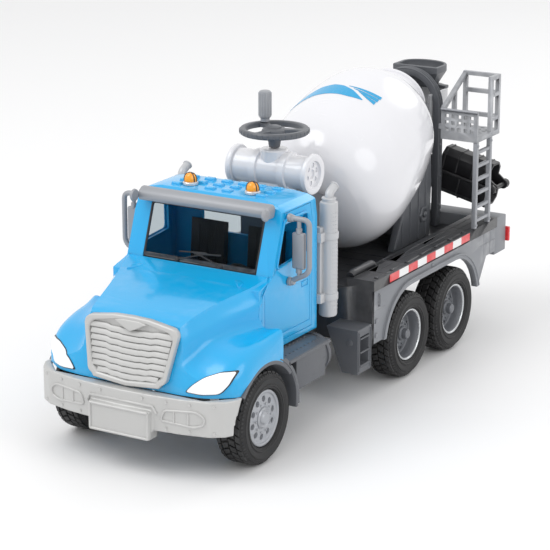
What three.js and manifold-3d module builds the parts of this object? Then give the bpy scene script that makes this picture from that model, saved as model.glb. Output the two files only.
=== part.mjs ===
// Toy concrete mixer truck in three.js, millimetres. +Z is up, +X is the truck's left, the nose points to -Y.
// While it is drawn, y = 0 is the front axle and z = 0 the ground; the whole truck is shifted at the end.
import * as THREE from "three";
import { mergeVertices } from "three/addons/utils/BufferGeometryUtils.js";
import Module from "manifold-3d";

const wasm = await Module();
wasm.setup();

// ---- Driving dimensions ----
const gap = 0.3; // between pieces that sit against each other
const runningGap = 0.6; // between a piece that turns and its seat
const sideX = 79; // half of the overall width
const wheelbase = 212; // front axle to the first rear axle
const tandemSpacing = 75; // between the two rear axles
const rearOverhang = 75; // from the last axle to the end of the deck
const deckRear = wheelbase + tandemSpacing + rearOverhang;

const wheel = { radius: 33, width: 24, rimRadius: 20, hubRadius: 7.5, axleRadius: 3, sides: 24 };
const archClearance = 7; // tyre to wheel arch

const rail = { inner: 20, width: 8, bottom: 42, top: 57.5 };
const cabMountHalf = 40;
const bumper = { bottom: 33, top: 58, front: -60, inner: -50, wall: 4, wrapEnd: -26 };
const plate = { halfWidth: 24.6, bottom: 26.5, top: 47, thickness: 2.5 };

const hood = {
  frontHalf: 39, rearHalf: 50, cowlHalf: 58, frontTop: 104, rearTop: 116, wall: 2.5, rear: 20,
};
const fender = { top: 88, shoulder: 78 };
const grille = { topHalf: 37.5, bottomHalf: 30.8, top: 105, thickness: 4.5, rim: 3 };
const noseLean = 0.2; // how far the nose leans back for each mm up

const cab = { half: 60, bottom: 67, roof: 169, rear: 100, wall: 3, cowl: 118.5 };
const dash = { rear: 54, top: 114 };
const screen = { half: 47, bottom: 119.2, top: 157.5, lean: 0.35, thickness: 1.6 };
const door = { front: 23.5, rear: 93, bottom: 71, top: 161, gap: 0.4 };
const visor = { half: 54, bottom: 158.2, height: 10, depth: 9 };
const mirror = {
  x: 76.7, y: 60, armLow: 112, armHigh: 157.6, barRadius: 1.9, plateWidth: 11.5, plateTop: 148,
};

const step = { top: 65, front: 30, rear: 85, bottom: 39, outer: 78, plate: 3 };
const fuelTank = { radius: 14, x: 59, z: 49.5, rear: 99 };
const exhaust = { x: cab.half + 2, y: 113, radius: 6.6, bottom: 73, top: 157.6, tip: 168 };

const deck = {
  front: deckRear - 209, rear: deckRear, top: 90, edge: 8, half: sideX - 1, well: 55, wellFloor: 78,
  floor: 4,
};
const skirt = { outer: sideX - 2.5, wall: 3, bottom: 41, rearBottom: 61.5, flare: 4 };
const tail = { depth: 17, bottom: 58, top: 88, half: sideX - 3 };
const sideBox = { inner: 50, top: 58, bottom: 24, depth: 21 };

const drum = {
  y: deckRear - 120.5, z: 145.5, tilt: 25, radius: 58.6, wall: 2.5, front: -45, shoulder: 60,
  neck: 91, mouth: 24,
};
const drumShaft = { radius: 5, length: 13 };
const gearTank = { y: deck.front - 11, z: 167, radius: 15, half: 34, body: 12.5 };
const crank = { z: 196, rim: 25.5, thickness: 4.5, stem: 7.8, knobRadius: 5, knobTop: 221.5 };

const saddle = { wall: 5, length: 7 };
const arch = { z: 177, wall: 5, depth: 7 };
const collector = {
  y: deckRear + 10, radius: 23.4, wall: 2, top: 187, waist: deck.top + 62, bottom: deck.top + 43.5,
  outlet: 13, front: deckRear - 16,
};
const hopper = { y: collector.y + 7, halfX: 20, halfY: 15, top: 206, wall: 2 };
const chute = { width: 26, height: 18, wall: 2, inner: -12, outer: 75, slope: 13, base: deck.top + 6 };
const extension = { width: 20.4, length: 44, pin: 1.8, ear: 4 };

const platform = {
  inner: 47, front: deckRear - 43, rear: deckRear - 2, floor: 160, railTop: 208, bar: 3.2,
};
const ladder = { front: platform.front + 0.5, rear: platform.front + 28, railDepth: 3.4, pitch: 11 };

// ---- Places worked out from them ----
const axles = [0, wheelbase, wheelbase + tandemSpacing];
const archRadius = wheel.radius + archClearance;
const wheelX = sideX - wheel.width / 2;
const drumRear = drum.neck + saddle.length + 3;
const archRear = collector.y - chute.width / 2 - 2;
const tilt = THREE.MathUtils.degToRad(drum.tilt);
const drumAxis = new THREE.Vector3(0, Math.cos(tilt), Math.sin(tilt));
const railOuter = rail.inner + rail.width;

// ---- Finishes ----
const paint = (color, roughness = 0.4, metalness = 0) => ({ color, roughness, metalness });
const blue = paint(0x1fb8f0, 0.3);
const silver = paint(0xcdcfd0, 0.45);
const midGrey = paint(0x94969a, 0.5);
const lightGrey = paint(0xc3c4c6, 0.45);
const darkGrey = paint(0x55575c, 0.6);
const deckGrey = paint(0x3f4146, 0.6);
const skirtGrey = paint(0x85878c, 0.55);
const nearBlack = paint(0x28282b, 0.55);
const white = paint(0xe6e6e8, 0.25);
const tyreBlack = paint(0x232324, 0.85);
const rimGrey = paint(0xa9abae, 0.35, 0.3);
const rearRimGrey = paint(0x6e7075, 0.4, 0.2);
const clearSmoke = paint(0x9aa4aa, 0.1);
const lampWhite = paint(0xf2f4f5, 0.2);
const amber = paint(0xf2a81d, 0.2);
const red = paint(0xd8323a, 0.3);
const steel = paint(0xb8babd, 0.3, 0.9);

// ---- Solids ----
// A closed geometry as a manifold-3d solid, with the empty triangles at a lathe's poles left out.
function solid(geometry) {
  const loose = geometry.index ? geometry.toNonIndexed() : geometry;
  const bare = new THREE.BufferGeometry();
  bare.setAttribute("position", loose.getAttribute("position"));
  const merged = mergeVertices(bare, 1e-4);
  const corners = merged.index.array;
  const triangles = [];
  for (let i = 0; i < corners.length; i += 3) {
    const [a, b, c] = corners.slice(i, i + 3);
    if (a !== b && b !== c && c !== a) triangles.push(a, b, c);
  }
  const vertProperties = merged.attributes.position.array;
  return new wasm.Manifold(new wasm.Mesh({
    numProp: 3, vertProperties, triVerts: new Uint32Array(triangles),
  }));
}

function geometryOf(body) {
  const mesh = body.getMesh();
  const geometry = new THREE.BufferGeometry();
  geometry.setAttribute("position", new THREE.BufferAttribute(new Float32Array(mesh.vertProperties), 3));
  geometry.setIndex(new THREE.BufferAttribute(new Uint32Array(mesh.triVerts), 1));
  const flat = geometry.toNonIndexed();
  flat.computeVertexNormals();
  return flat;
}

const join = (...bodies) => bodies.flat().reduce((whole, body) => whole.add(body));
const cut = (whole, ...tools) => tools.flat().reduce((left, tool) => left.subtract(tool), whole);
const common = (...bodies) => bodies.reduce((shared, body) => shared.intersect(body));

function moved(geometry, x, y, z) {
  return solid(geometry.translate(x, y, z));
}

function box(x0, x1, y0, y1, z0, z1) {
  const geometry = new THREE.BoxGeometry(x1 - x0, y1 - y0, z1 - z0);
  return moved(geometry, (x0 + x1) / 2, (y0 + y1) / 2, (z0 + z1) / 2);
}

function extruded(points, depth) {
  const shape = new THREE.Shape(points.map(([a, b]) => new THREE.Vector2(a, b)));
  return new THREE.ExtrudeGeometry(shape, { depth, bevelEnabled: false });
}

// An outline of [y, z] points drawn out along X, of [x, z] points along Y, or of [x, y] points along Z.
function prismX(points, x0, x1) {
  const turn = new THREE.Matrix4().set(0, 0, 1, x0, 1, 0, 0, 0, 0, 1, 0, 0, 0, 0, 0, 1);
  return solid(extruded(points, x1 - x0).applyMatrix4(turn));
}

function prismY(points, y0, y1) {
  const turn = new THREE.Matrix4().set(1, 0, 0, 0, 0, 0, -1, y1, 0, 1, 0, 0, 0, 0, 0, 1);
  return solid(extruded(points, y1 - y0).applyMatrix4(turn));
}

function prismZ(points, z0, z1) {
  return moved(extruded(points, z1 - z0), 0, 0, z0);
}

// Points of an arc, in degrees, both ends included.
function arc(cx, cy, radius, from, to, steps) {
  return Array.from({ length: steps + 1 }, (_, i) => {
    const angle = THREE.MathUtils.degToRad(from + ((to - from) * i) / steps);
    return [cx + radius * Math.cos(angle), cy + radius * Math.sin(angle)];
  });
}

// A profile of [radius, height] points turned about an axis that starts at a place and runs in a direction.
function turned(profile, place, direction, sides = 24) {
  const geometry = new THREE.LatheGeometry(profile.map(([r, h]) => new THREE.Vector2(r, h)), sides);
  const up = new THREE.Vector3(0, 1, 0);
  geometry.applyQuaternion(new THREE.Quaternion().setFromUnitVectors(up, direction.clone().normalize()));
  return moved(geometry, ...place);
}

function rod(from, to, radius, sides = 14) {
  const a = new THREE.Vector3(...from);
  const along = new THREE.Vector3(...to).sub(a);
  return turned([[0, 0], [radius, 0], [radius, along.length()], [0, along.length()]], from, along, sides);
}

const rodX = (x0, x1, y, z, radius, sides) => rod([x0, y, z], [x1, y, z], radius, sides);

// A round bar through points, bent by a radius at each corner.
function bentBar(points, radius, bend, steps = 20, sides = 8) {
  const corners = points.map((p) => new THREE.Vector3(...p));
  const path = new THREE.CurvePath();
  let from = corners[0];
  for (let i = 1; i < corners.length - 1; i++) {
    const before = corners[i].clone().lerp(corners[i - 1], bend / corners[i].distanceTo(corners[i - 1]));
    const after = corners[i].clone().lerp(corners[i + 1], bend / corners[i].distanceTo(corners[i + 1]));
    path.add(new THREE.LineCurve3(from, before));
    path.add(new THREE.QuadraticBezierCurve3(before, corners[i], after));
    from = after;
  }
  path.add(new THREE.LineCurve3(from, corners[corners.length - 1]));
  const section = new THREE.Shape(arc(
    0, 0, radius, 0, 360 - 360 / sides, sides - 1,
  ).map((p) => new THREE.Vector2(...p)));
  return solid(new THREE.ExtrudeGeometry(section, { steps, extrudePath: path, bevelEnabled: false }));
}

function mirrored(body) {
  return body.mirror([1, 0, 0]);
}

// An outline's right half with its mirror image, where the first number is x.
const bothHalves = (right) => [...right, ...right.map(([x, other]) => [-x, other]).reverse()];

function part(name, body, finish) {
  const mesh = new THREE.Mesh(geometryOf(body), new THREE.MeshStandardMaterial(finish));
  mesh.name = name;
  return mesh;
}

// The same piece on both sides: drawn on the left and mirrored for the right.
function pair(name, body, finish) {
  return [part(`${name}_left`, body, finish), part(`${name}_right`, mirrored(body), finish)];
}

// ---- Chassis ----
function chassisFrame() {
  const front = bumper.inner + gap;
  const rails = [-1, 1].map((side) => {
    const [x0, x1] = side < 0 ? [-railOuter, -rail.inner] : [rail.inner, railOuter];
    const blocks = axles.map((y) => box(x0, x1, y - 8, y + 8, wheel.radius - 7, rail.bottom + 1));
    return join(box(x0, x1, front, deck.rear, rail.bottom, rail.top), ...blocks);
  });
  const places = [front + 4, axles[0] + 40, cab.rear + 20, axles[1] - 40, axles[1] + 38, axles[2] + 40];
  const crossMembers = places.map((y) => box(
    -rail.inner - 1, rail.inner + 1, y - 3, y + 3, rail.bottom + 4, rail.top - 4,
  ));
  const cabMounts = [36, cab.rear - 12].map((y) => box(
    -cabMountHalf, cabMountHalf, y - 4, y + 4, rail.top - 3, cab.bottom - gap,
  ));
  const deckUnder = deck.wellFloor - deck.floor - gap;
  const deckMounts = [deck.front + 18, axles[1] + 38, deck.rear - 22].map((y) =>
    box(-railOuter, railOuter, y - 5, y + 5, rail.top - 3, deckUnder),
  );
  const bores = axles.map((y) => rodX(
    -railOuter - 1, railOuter + 1, y, wheel.radius, wheel.axleRadius + gap,
  ));
  return cut(join(...rails, ...crossMembers, ...cabMounts, ...deckMounts), ...bores);
}

function axleRod(y) {
  const half = wheelX + wheel.width / 2 - 4 - gap;
  return rodX(-half, half, y, wheel.radius, wheel.axleRadius, 16);
}

function tyre() {
  const half = wheel.width / 2;
  const bead = wheel.rimRadius + gap;
  const profile = [
    [bead, -half + 2.5], [bead + 4, -half], [wheel.radius - 4, -half], [wheel.radius, -half + 3.5],
    [wheel.radius, half - 3.5], [wheel.radius - 4, half], [bead + 4, half], [bead, half - 2.5],
    [bead, -half + 2.5],
  ];
  return solid(new THREE.LatheGeometry(
    profile.map((p) => new THREE.Vector2(...p)), wheel.sides,
  ).rotateZ(-Math.PI / 2));
}

// A rim whose disc lies at a depth behind the outer edge, with a blind bore for the axle from the inner side.
function rim(discDepth, discWall) {
  const half = wheel.width / 2 - 2.5;
  const disc = half - discDepth;
  const bore = wheel.axleRadius + gap;
  const boreEnd = wheel.width / 2 - 4;
  const inner = wheel.rimRadius - 2;
  const profile = [
    [0, boreEnd], [bore, boreEnd], [bore, -half], [wheel.hubRadius, -half],
    [wheel.hubRadius, disc - discWall],
    [inner, disc - discWall], [inner, -half], [wheel.rimRadius, -half], [wheel.rimRadius, half],
    [inner, half],
    [inner - 1, disc], [wheel.hubRadius, disc], [wheel.hubRadius - 1, wheel.width / 2 - 1.5],
    [0, wheel.width / 2 - 1.5],
  ];
  return solid(new THREE.LatheGeometry(
    profile.map((p) => new THREE.Vector2(...p)), wheel.sides,
  ).rotateZ(-Math.PI / 2));
}

function wheels() {
  const group = new THREE.Group();
  ["front", "middle", "rear"].forEach((row, i) => {
    const rimBody = row === "front" ? rim(1.5, 2) : rim(9, 2);
    const finish = row === "front" ? rimGrey : rearRimGrey;
    for (const [sideName, side] of [["left", 1], ["right", -1]]) {
      const hub = new THREE.Group();
      hub.position.set(side * wheelX, axles[i], wheel.radius);
      hub.rotation.z = side > 0 ? 0 : Math.PI;
      hub.add(
        part(`tyre_${row}_${sideName}`, tyre(), tyreBlack),
        part(`rim_${row}_${sideName}`, rimBody, finish),
      );
      group.add(hub);
    }
    group.add(part(`axle_${row}`, axleRod(axles[i]), steel));
  });
  return group;
}

// ---- Nose ----
const noseY = (z, inset = 0) => bumper.inner + 3.5 + noseLean * (z - bumper.top) + inset;
const wheelArch = (y, radius = archRadius) => rodX(
  wheelX - wheel.width / 2 - 8, sideX + 2, y, wheel.radius, radius, 40,
);
const bothSides = (body) => join(body, mirrored(body));

// The hood and fenders as one solid, with every outer face brought in by an inset.
function noseBlock(inset) {
  const bottom = bumper.top + gap - inset;
  const rear = hood.rear + (inset ? 1 : 0);
  const half = (width) => width - inset;
  const plan = [
    [half(hood.frontHalf), noseY(bottom, inset)], [half(48), 0], [half(hood.rearHalf), hood.rear - 10],
    [half(hood.cowlHalf), rear],
  ];
  const topLine = prismX([
    [noseY(bottom, inset), bottom], [rear, bottom], [rear, hood.rearTop - inset],
    [-10, hood.rearTop - 4 - inset],
    [noseY(hood.frontTop, inset), hood.frontTop - inset],
  ], -sideX, sideX);
  const outline = bothHalves(plan);
  const shoulders = [
    [hood.cowlHalf, bottom], [hood.cowlHalf, hood.frontTop - 18 - inset],
    [hood.rearHalf - 6, hood.rearTop - 6 - inset],
    [hood.rearHalf - 24, hood.rearTop - inset],
  ];
  const section = bothHalves(shoulders);
  const middle = common(
    topLine, prismZ(outline, bottom, hood.rearTop), prismY(section, noseY(bottom) - 1, rear),
  );
  const side = prismX([
    [noseY(bottom, inset) + 2, bottom], [rear, bottom], [rear, fender.top - inset],
    [-14, fender.top - 2 - inset],
    [-30, fender.shoulder + 2 - inset], [-41 + inset, 66],
  ], hood.frontHalf - 12, half(sideX));
  const corner = prismZ([
    [20, noseY(bottom, inset)], [46, noseY(bottom, inset) + 1], [sideX - 13, -42.5 + inset],
    [half(sideX - 3), -33 + inset],
    [half(sideX), -24], [half(sideX), rear], [20, rear],
  ], bottom, fender.top);
  const crest = prismY([
    [20, bottom], [half(sideX), bottom], [half(sideX), fender.shoulder - inset],
    [half(74), fender.top - 3 - inset],
    [half(64), fender.top - inset], [20, fender.top - inset],
  ], noseY(bottom) - 1, rear);
  return join(middle, bothSides(common(side, corner, crest)));
}

function noseShell() {
  const arches = [wheelArch(axles[0]), mirrored(wheelArch(axles[0]))];
  return cut(noseBlock(0), noseBlock(hood.wall), ...arches);
}

function noseGrille() {
  const bottom = bumper.top + gap + 0.5;
  const outline = (inset) => {
    const right = [
      [grille.bottomHalf - inset, bottom + 4 + inset], [grille.topHalf - inset, grille.top - 6 - inset],
      [grille.topHalf - 12, grille.top - 2 - inset],
    ];
    return [[0, bottom + inset], ...bothHalves(right)];
  };
  const lean = new THREE.Matrix4().set(
    1, 0, 0, 0, 0, 1, noseLean, -noseLean * bumper.top, 0, 0, 1, 0, 0, 0, 0, 1,
  );
  const face = bumper.inner + 3.5 - gap;
  const leaned = (body) => solid(geometryOf(body).applyMatrix4(lean));
  const back = prismY(outline(0), face - grille.thickness, face);
  const recess = prismY(outline(grille.rim), face - grille.thickness - 1, face - grille.thickness / 2);
  return leaned(cut(back, recess));
}

function frontBumper() {
  const { front, inner, wall, wrapEnd } = bumper;
  const bow = [
    [24, front + 1], [46, front + 3.5], [sideX - 14, front + 8], [sideX - 5, front + 14],
    [sideX, front + 23],
  ];
  const back = [
    [sideX, wrapEnd], [sideX - wall, wrapEnd], [sideX - wall, inner + 15], [sideX - 19, inner],
  ];
  const outline = [[0, front], ...bothHalves([...bow, ...back])];
  const arch = wheelArch(axles[0]);
  const whole = cut(prismZ(outline, bumper.bottom, bumper.top), arch, mirrored(arch));
  const numberPlate = box(
    -plate.halfWidth, plate.halfWidth, bumper.front - plate.thickness, bumper.inner - 2,
    plate.bottom, plate.top,
  );
  return join(whole, numberPlate);
}

function headlight() {
  const outline = [[46, 61.5], [70, 64], [73, 76], [60, 72.5], [50, 66]];
  const skin = prismY(outline, -60, 0);
  const outer = common(skin, noseBlock(-1.2));
  return cut(outer, noseBlock(-gap));
}

// ---- Cab ----
const screenY = (z) => screen.lean * (z - screen.bottom);
const screenFront = 38.2;

// The cab's outside as one solid, with every face brought in by an inset.
function cabBlock(inset) {
  const front = hood.rear + gap + inset;
  const side = [
    [front, cab.bottom + inset], [front, cab.cowl - 4 - inset],
    [screenFront - 2 + inset, cab.cowl - inset],
    [screenFront + screenY(cab.cowl) + inset, cab.cowl + 0.5 - inset],
    [screenFront + screenY(164) + inset, 164 - inset],
    [58 + inset, cab.roof - 1 - inset], [cab.rear - 6 - inset, cab.roof - 1 - inset],
    [cab.rear - inset, 163 - inset],
    [cab.rear - inset, cab.bottom + inset],
  ];
  const half = cab.half - inset;
  const right = [
    [half, cab.bottom + inset], [half, 150], [half - 1.5, 162 - inset], [half - 6, cab.roof - 3 - inset],
    [half - 22, cab.roof - inset],
  ];
  return common(
    prismX(side, -cab.half, cab.half),
    prismY(bothHalves(right), hood.rear, cab.rear),
  );
}

// The door's outline in [y, z], brought in by an inset.
function doorOutline(inset) {
  const front = door.front + inset;
  return [
    [front, door.bottom + inset], [door.rear - inset, door.bottom + inset],
    [door.rear - inset, door.top - inset],
    [screenFront + screenY(door.top) + 4 + inset, door.top - inset], [screenFront + 4 + inset, 122],
    [front, 113 - inset],
  ];
}

const windowOutline = [[44, 124], [55, 157], [87, 156], [88, 127]];

function cabShell() {
  const doorway = prismX(doorOutline(0), cab.half - cab.wall - gap, cab.half + 1);
  const screenHole = box(-screen.half, screen.half, hood.rear + 10, 62, screen.bottom, screen.top);
  const rearWindow = box(-34, 34, cab.rear - 10, cab.rear + 1, 128, 152);
  return cut(cabBlock(0), cabBlock(cab.wall), doorway, mirrored(doorway), screenHole, rearWindow);
}

function windshield() {
  const low = screen.bottom + gap;
  const high = screen.top - gap;
  const face = (z) => screenFront + screenY(z) + 0.6;
  const outline = [
    [face(low), low], [face(low) + screen.thickness, low], [face(high) + screen.thickness, high],
    [face(high), high],
  ];
  return prismX(outline, -screen.half + gap, screen.half - gap);
}

function sunVisor() {
  const z = visor.bottom;
  const y = screenFront + screenY(z) - gap;
  const outline = [
    [y, z], [y + 1.6, z + 4.6], [y + 2, z + 7], [y - 0.5, z + visor.height],
    [y - 4, z + visor.height - 0.4],
    [y - 7.5, z + visor.height - 3], [y - visor.depth + 0.3, z + 4], [y - visor.depth + 2, z + 0.4],
  ];
  return prismX(outline, -visor.half, visor.half);
}

function doorPanel() {
  const panel = prismX(doorOutline(door.gap), cab.half - cab.wall, cab.half);
  const roofEdge = cabBlock(0);
  return cut(common(panel, roofEdge), prismX(windowOutline, cab.half - 12, cab.half + 1));
}

function wingMirror() {
  const root = cab.half + gap;
  const frame = bentBar([
    [root + 1.5, mirror.y, mirror.armHigh], [mirror.x, mirror.y, mirror.armHigh],
    [mirror.x, mirror.y, mirror.armLow + 8], [root + 1.5, mirror.y, mirror.armLow],
  ], mirror.barRadius, 5);
  const x = root + 8;
  const bar = rod(
    [x, mirror.y, mirror.armLow + 2], [x, mirror.y, mirror.armHigh - 0.5], mirror.barRadius - 0.4,
    10,
  );
  const half = mirror.plateWidth / 2;
  const glassPlate = box(
    x - half + 1, x + half - 1, mirror.y - 1.6, mirror.y + 2, mirror.plateTop - 26, mirror.plateTop,
  );
  const bosses = [mirror.armLow, mirror.armHigh].map((z) => rodX(root, root + 3.5, mirror.y, z, 3, 12));
  return join(frame, bar, glassPlate, ...bosses);
}

function beacon() {
  const z = cab.roof - 1 + gap;
  const dome = [[0, 0], [5.6, 0], [5.6, 2], [5.1, 2.4], [5, 5], [3.8, 7.4], [0, 8.6]];
  return turned(dome, [25.8, 69, z], new THREE.Vector3(0, 0, 1), 20);
}

// The dashboard's body; grown a little, it is what the steering column stops at.
function dashBody(grow = 0) {
  const floor = cab.bottom + cab.wall + gap;
  const front = hood.rear + gap + cab.wall + gap;
  const half = cab.half - cab.wall - 12 - gap;
  const rear = dash.rear + grow;
  const foot = [[front, floor + 12], [front + 8, floor + 12]];
  const outline = [...foot, [rear, 98], [rear - 2, 111], [front + 14, dash.top + grow], [front, 108]];
  return join(prismX(outline, -half, half), box(-8, 8, front, front + 8, floor, floor + 14));
}

function seats() {
  const floor = cab.bottom + cab.wall + gap;
  const base = box(-44, 44, 66, 90, floor, floor + 9);
  const seat = (x) => {
    const cushion = box(x - 15, x + 15, 62, 90, floor + 8, floor + 17);
    const back = prismX(
      [[84, floor + 10], [91, floor + 10], [95, floor + 66], [89, floor + 68]], x - 14, x + 14,
    );
    return join(cushion, back);
  };
  return join(base, seat(-24), seat(24));
}

function steeringWheel() {
  const axis = new THREE.Vector3(0, 0.75, 0.66).normalize(); // towards the driver
  const centre = new THREE.Vector3(24, 60, 112);
  const root = centre.clone().addScaledVector(axis, -14);
  const rimProfile = [[9.4, -1.2], [11.4, -1.2], [11.4, 1.2], [9.4, 1.2], [9.4, -1.2]];
  const across = new THREE.Vector3(1, 0, 0);
  const tips = [-1, 1].map((side) => centre.clone().addScaledVector(across, side * 10.4));
  return join(
    turned(rimProfile, centre.toArray(), axis, 24),
    rod(tips[0].toArray(), tips[1].toArray(), 1.4, 10),
    cut(rod(root.toArray(), centre.toArray(), 2.4, 12), dashBody(gap)),
  );
}

// ---- Steps, tanks and pipes beside the frame ----
function sideStep() {
  const tread = box(
    cabMountHalf + gap, step.outer, step.front, step.rear + 3, step.top - step.plate, step.top,
  );
  const panelFront = archRadius + skirt.flare + gap;
  const panel = box(step.outer - 5, step.outer - 2, panelFront, step.rear, step.bottom, step.top - 1);
  const tank = rod(
    [fuelTank.x, step.front + 22, fuelTank.z], [fuelTank.x, fuelTank.rear, fuelTank.z],
    fuelTank.radius, 28,
  );
  const bracket = box(railOuter + gap, fuelTank.x, 66, 76, rail.bottom + 2, rail.bottom + 8);
  return join(tread, panel, tank, bracket);
}

// The dark lip behind the front wheel, with its mudflap.
function fenderFlare() {
  const rear = archRadius + skirt.flare;
  const band = prismX(
    arc(axles[0], wheel.radius, rear, -10, 66, 14).concat([[hood.rear + gap, 62]]), 62, sideX,
  );
  const behind = box(61, sideX + 1, hood.rear + gap, rear + 2, wheel.radius - 2, cab.bottom + 2);
  const lip = cut(common(band, behind), wheelArch(axles[0]));
  const flap = box(
    62, sideX, axles[0] + archRadius - 1, axles[0] + archRadius + 2, wheel.radius - 4,
    wheel.radius + 12,
  );
  const clear = box(60, sideX + 1, step.front - gap, 100, step.top - step.plate - gap, step.top + 10);
  return cut(join(lip, flap), clear);
}

function exhaustStack() {
  const { x, y, radius, bottom, top, tip } = exhaust;
  const body = rod([x, y, bottom], [x, y, top], radius, 24);
  const neck = rod([x, y, top - 1], [x, y, top + 2.5], radius - 1.8, 20);
  const elbow = bentBar([[x, y, top], [x, y, top + 6], [x, y + 8, tip - 1]], 3.1, 3, 10, 10);
  const bar = box(x - 6, x - 1, cab.rear + 3, cab.rear + 7.5, bottom + 12, top - 17);
  const clamps = [bottom + 15, top - 24].map((z) => box(
    x - 9, x, cab.rear + gap, y - 2, z - 3.5, z + 3.5,
  ));
  return join(body, neck, elbow, bar, ...clamps);
}

function wedgeBox() {
  const rear = deck.front - gap;
  const outline = [
    [sideBox.inner, sideBox.top], [skirt.outer, sideBox.top], [skirt.outer, sideBox.bottom],
    [sideBox.inner + 13, sideBox.bottom],
  ];
  const pocket = box(
    skirt.outer - 9, skirt.outer + 1, rear - sideBox.depth + 4, rear - 4, sideBox.bottom + 5,
    sideBox.top - 6,
  );
  return cut(prismY(outline, rear - sideBox.depth, rear), pocket);
}

// ---- Deck and skirts ----
function deckTray() {
  const { half, well, top, edge, wellFloor, floor } = deck;
  const right = [
    [well, wellFloor], [well, top], [half, top], [half, top - edge], [well + floor, top - edge],
    [well + floor, wellFloor - floor],
  ];
  const tray = prismY(bothHalves(right), deck.front, deck.rear);
  const wall = (side) => {
    const [x0, x1] = side > 0 ? [railOuter + 2, skirt.outer] : [-skirt.outer, -railOuter - 2];
    return box(x0, x1, deck.front, deck.front + skirt.wall, skirt.bottom, top - edge + 1);
  };
  return join(tray, wall(-1), wall(1));
}

// One long opening over both rear wheels, or the lip around it.
function tandemArch(radius, x0, x1) {
  const z = wheel.radius;
  const outline = [
    [axles[1] - radius, skirt.bottom - 20], ...arc(axles[1], z, radius, 180, 90, 10),
    ...arc(axles[2], z, radius, 90, 0, 10), [axles[2] + radius, skirt.bottom - 20],
  ];
  return prismX(outline, x0, x1);
}

function sideSkirt() {
  const top = deck.top - deck.edge - gap;
  const front = deck.front + skirt.wall + gap;
  const heel = axles[2] + archRadius + 2 + skirt.flare;
  const inner = skirt.outer - skirt.wall;
  const panel = prismX([
    [front, skirt.bottom], [heel, skirt.bottom], [heel + 13, skirt.rearBottom],
    [deck.rear, skirt.rearBottom],
    [deck.rear, top], [front, top],
  ], inner, skirt.outer);
  const lip = common(
    tandemArch(archRadius + skirt.flare, inner, sideX - 0.5),
    box(0, sideX, front, heel, skirt.bottom, top),
  );
  return cut(join(panel, lip), tandemArch(archRadius, inner - 1, sideX + 1));
}

function tailBlock() {
  const front = deck.rear + gap;
  const block = box(-tail.half, tail.half, front, front + tail.depth + 4, tail.bottom, tail.top);
  const pivot = rod([0, collector.y, tail.top - 1], [0, collector.y, chute.base - gap], 6, 20);
  return join(block, pivot);
}

function tailLamp() {
  const y = deck.rear + gap + tail.depth + 4 + gap;
  return box(66, sideX - 0.5, y, y + 3, 65, 77);
}

// ---- Drum and what carries it ----
const drumCentre = [0, drum.y, drum.z];
const alongDrum = (s) => new THREE.Vector3(...drumCentre).addScaledVector(drumAxis, s).toArray();

// The drum's outside, as [radius, distance along the axis], made bigger by a clearance.
function drumProfile(extra) {
  const { radius, front, shoulder, neck, mouth } = drum;
  const [swell, taper] = [radius * 0.214, neck - shoulder];
  return [
    [0, front - 3.5 - extra], [radius * 0.36, front - 2.5 - extra],
    [radius * 0.76 + extra * 0.6, front - extra * 0.8],
    [radius - swell * 0.5 + extra, front * 0.8], [radius - swell * 0.13 + extra, front * 0.5],
    [radius + extra, -6],
    [radius + extra, 8], [radius * 0.965 + extra, 34], [radius * 0.87 + extra, shoulder],
    [radius * 0.77 + extra, shoulder + taper * 0.4], [radius * 0.61 + extra, shoulder + taper * 0.74],
    [mouth + 1 + extra, neck], [mouth + extra, drumRear + extra],
  ];
}

function drumShell() {
  const sides = 36;
  const outside = turned([...drumProfile(0), [0, drumRear]], drumCentre, drumAxis, sides);
  const hollow = drumProfile(-drum.wall).slice(0, -1).concat([
    [drum.mouth - drum.wall, drumRear + 1], [0, drumRear + 1],
  ]);
  const shaft = rod(
    alongDrum(drum.front - drumShaft.length), alongDrum(drum.front), drumShaft.radius, 20,
  );
  return join(cut(outside, turned(hollow, drumCentre, drumAxis, sides)), shaft);
}

function drumEnvelope(extra) {
  return turned([...drumProfile(extra), [0, drumRear + extra]], drumCentre, drumAxis, 36);
}

function frontSupport() {
  const front = gearTank.y - 18;
  const top = gearTank.z - gearTank.radius - gap;
  const deckLine = deck.wellFloor + gap;
  const [, shaftY, shaftZ] = alongDrum(drum.front - drumShaft.length / 2);
  const outline = [
    [front, rail.top + gap], [deck.front - gap, rail.top + gap], [deck.front - gap, deckLine],
    [shaftY + 10, deckLine],
    [shaftY + 10, shaftZ - 8], [shaftY - 4, shaftZ + 14], [gearTank.y + 16, top], [front, top],
  ];
  const bearing = rod(
    alongDrum(drum.front - drumShaft.length - 1), alongDrum(drum.front),
    drumShaft.radius + runningGap, 24,
  );
  return cut(prismX(outline, -18, 18), drumEnvelope(2), bearing);
}

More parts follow.
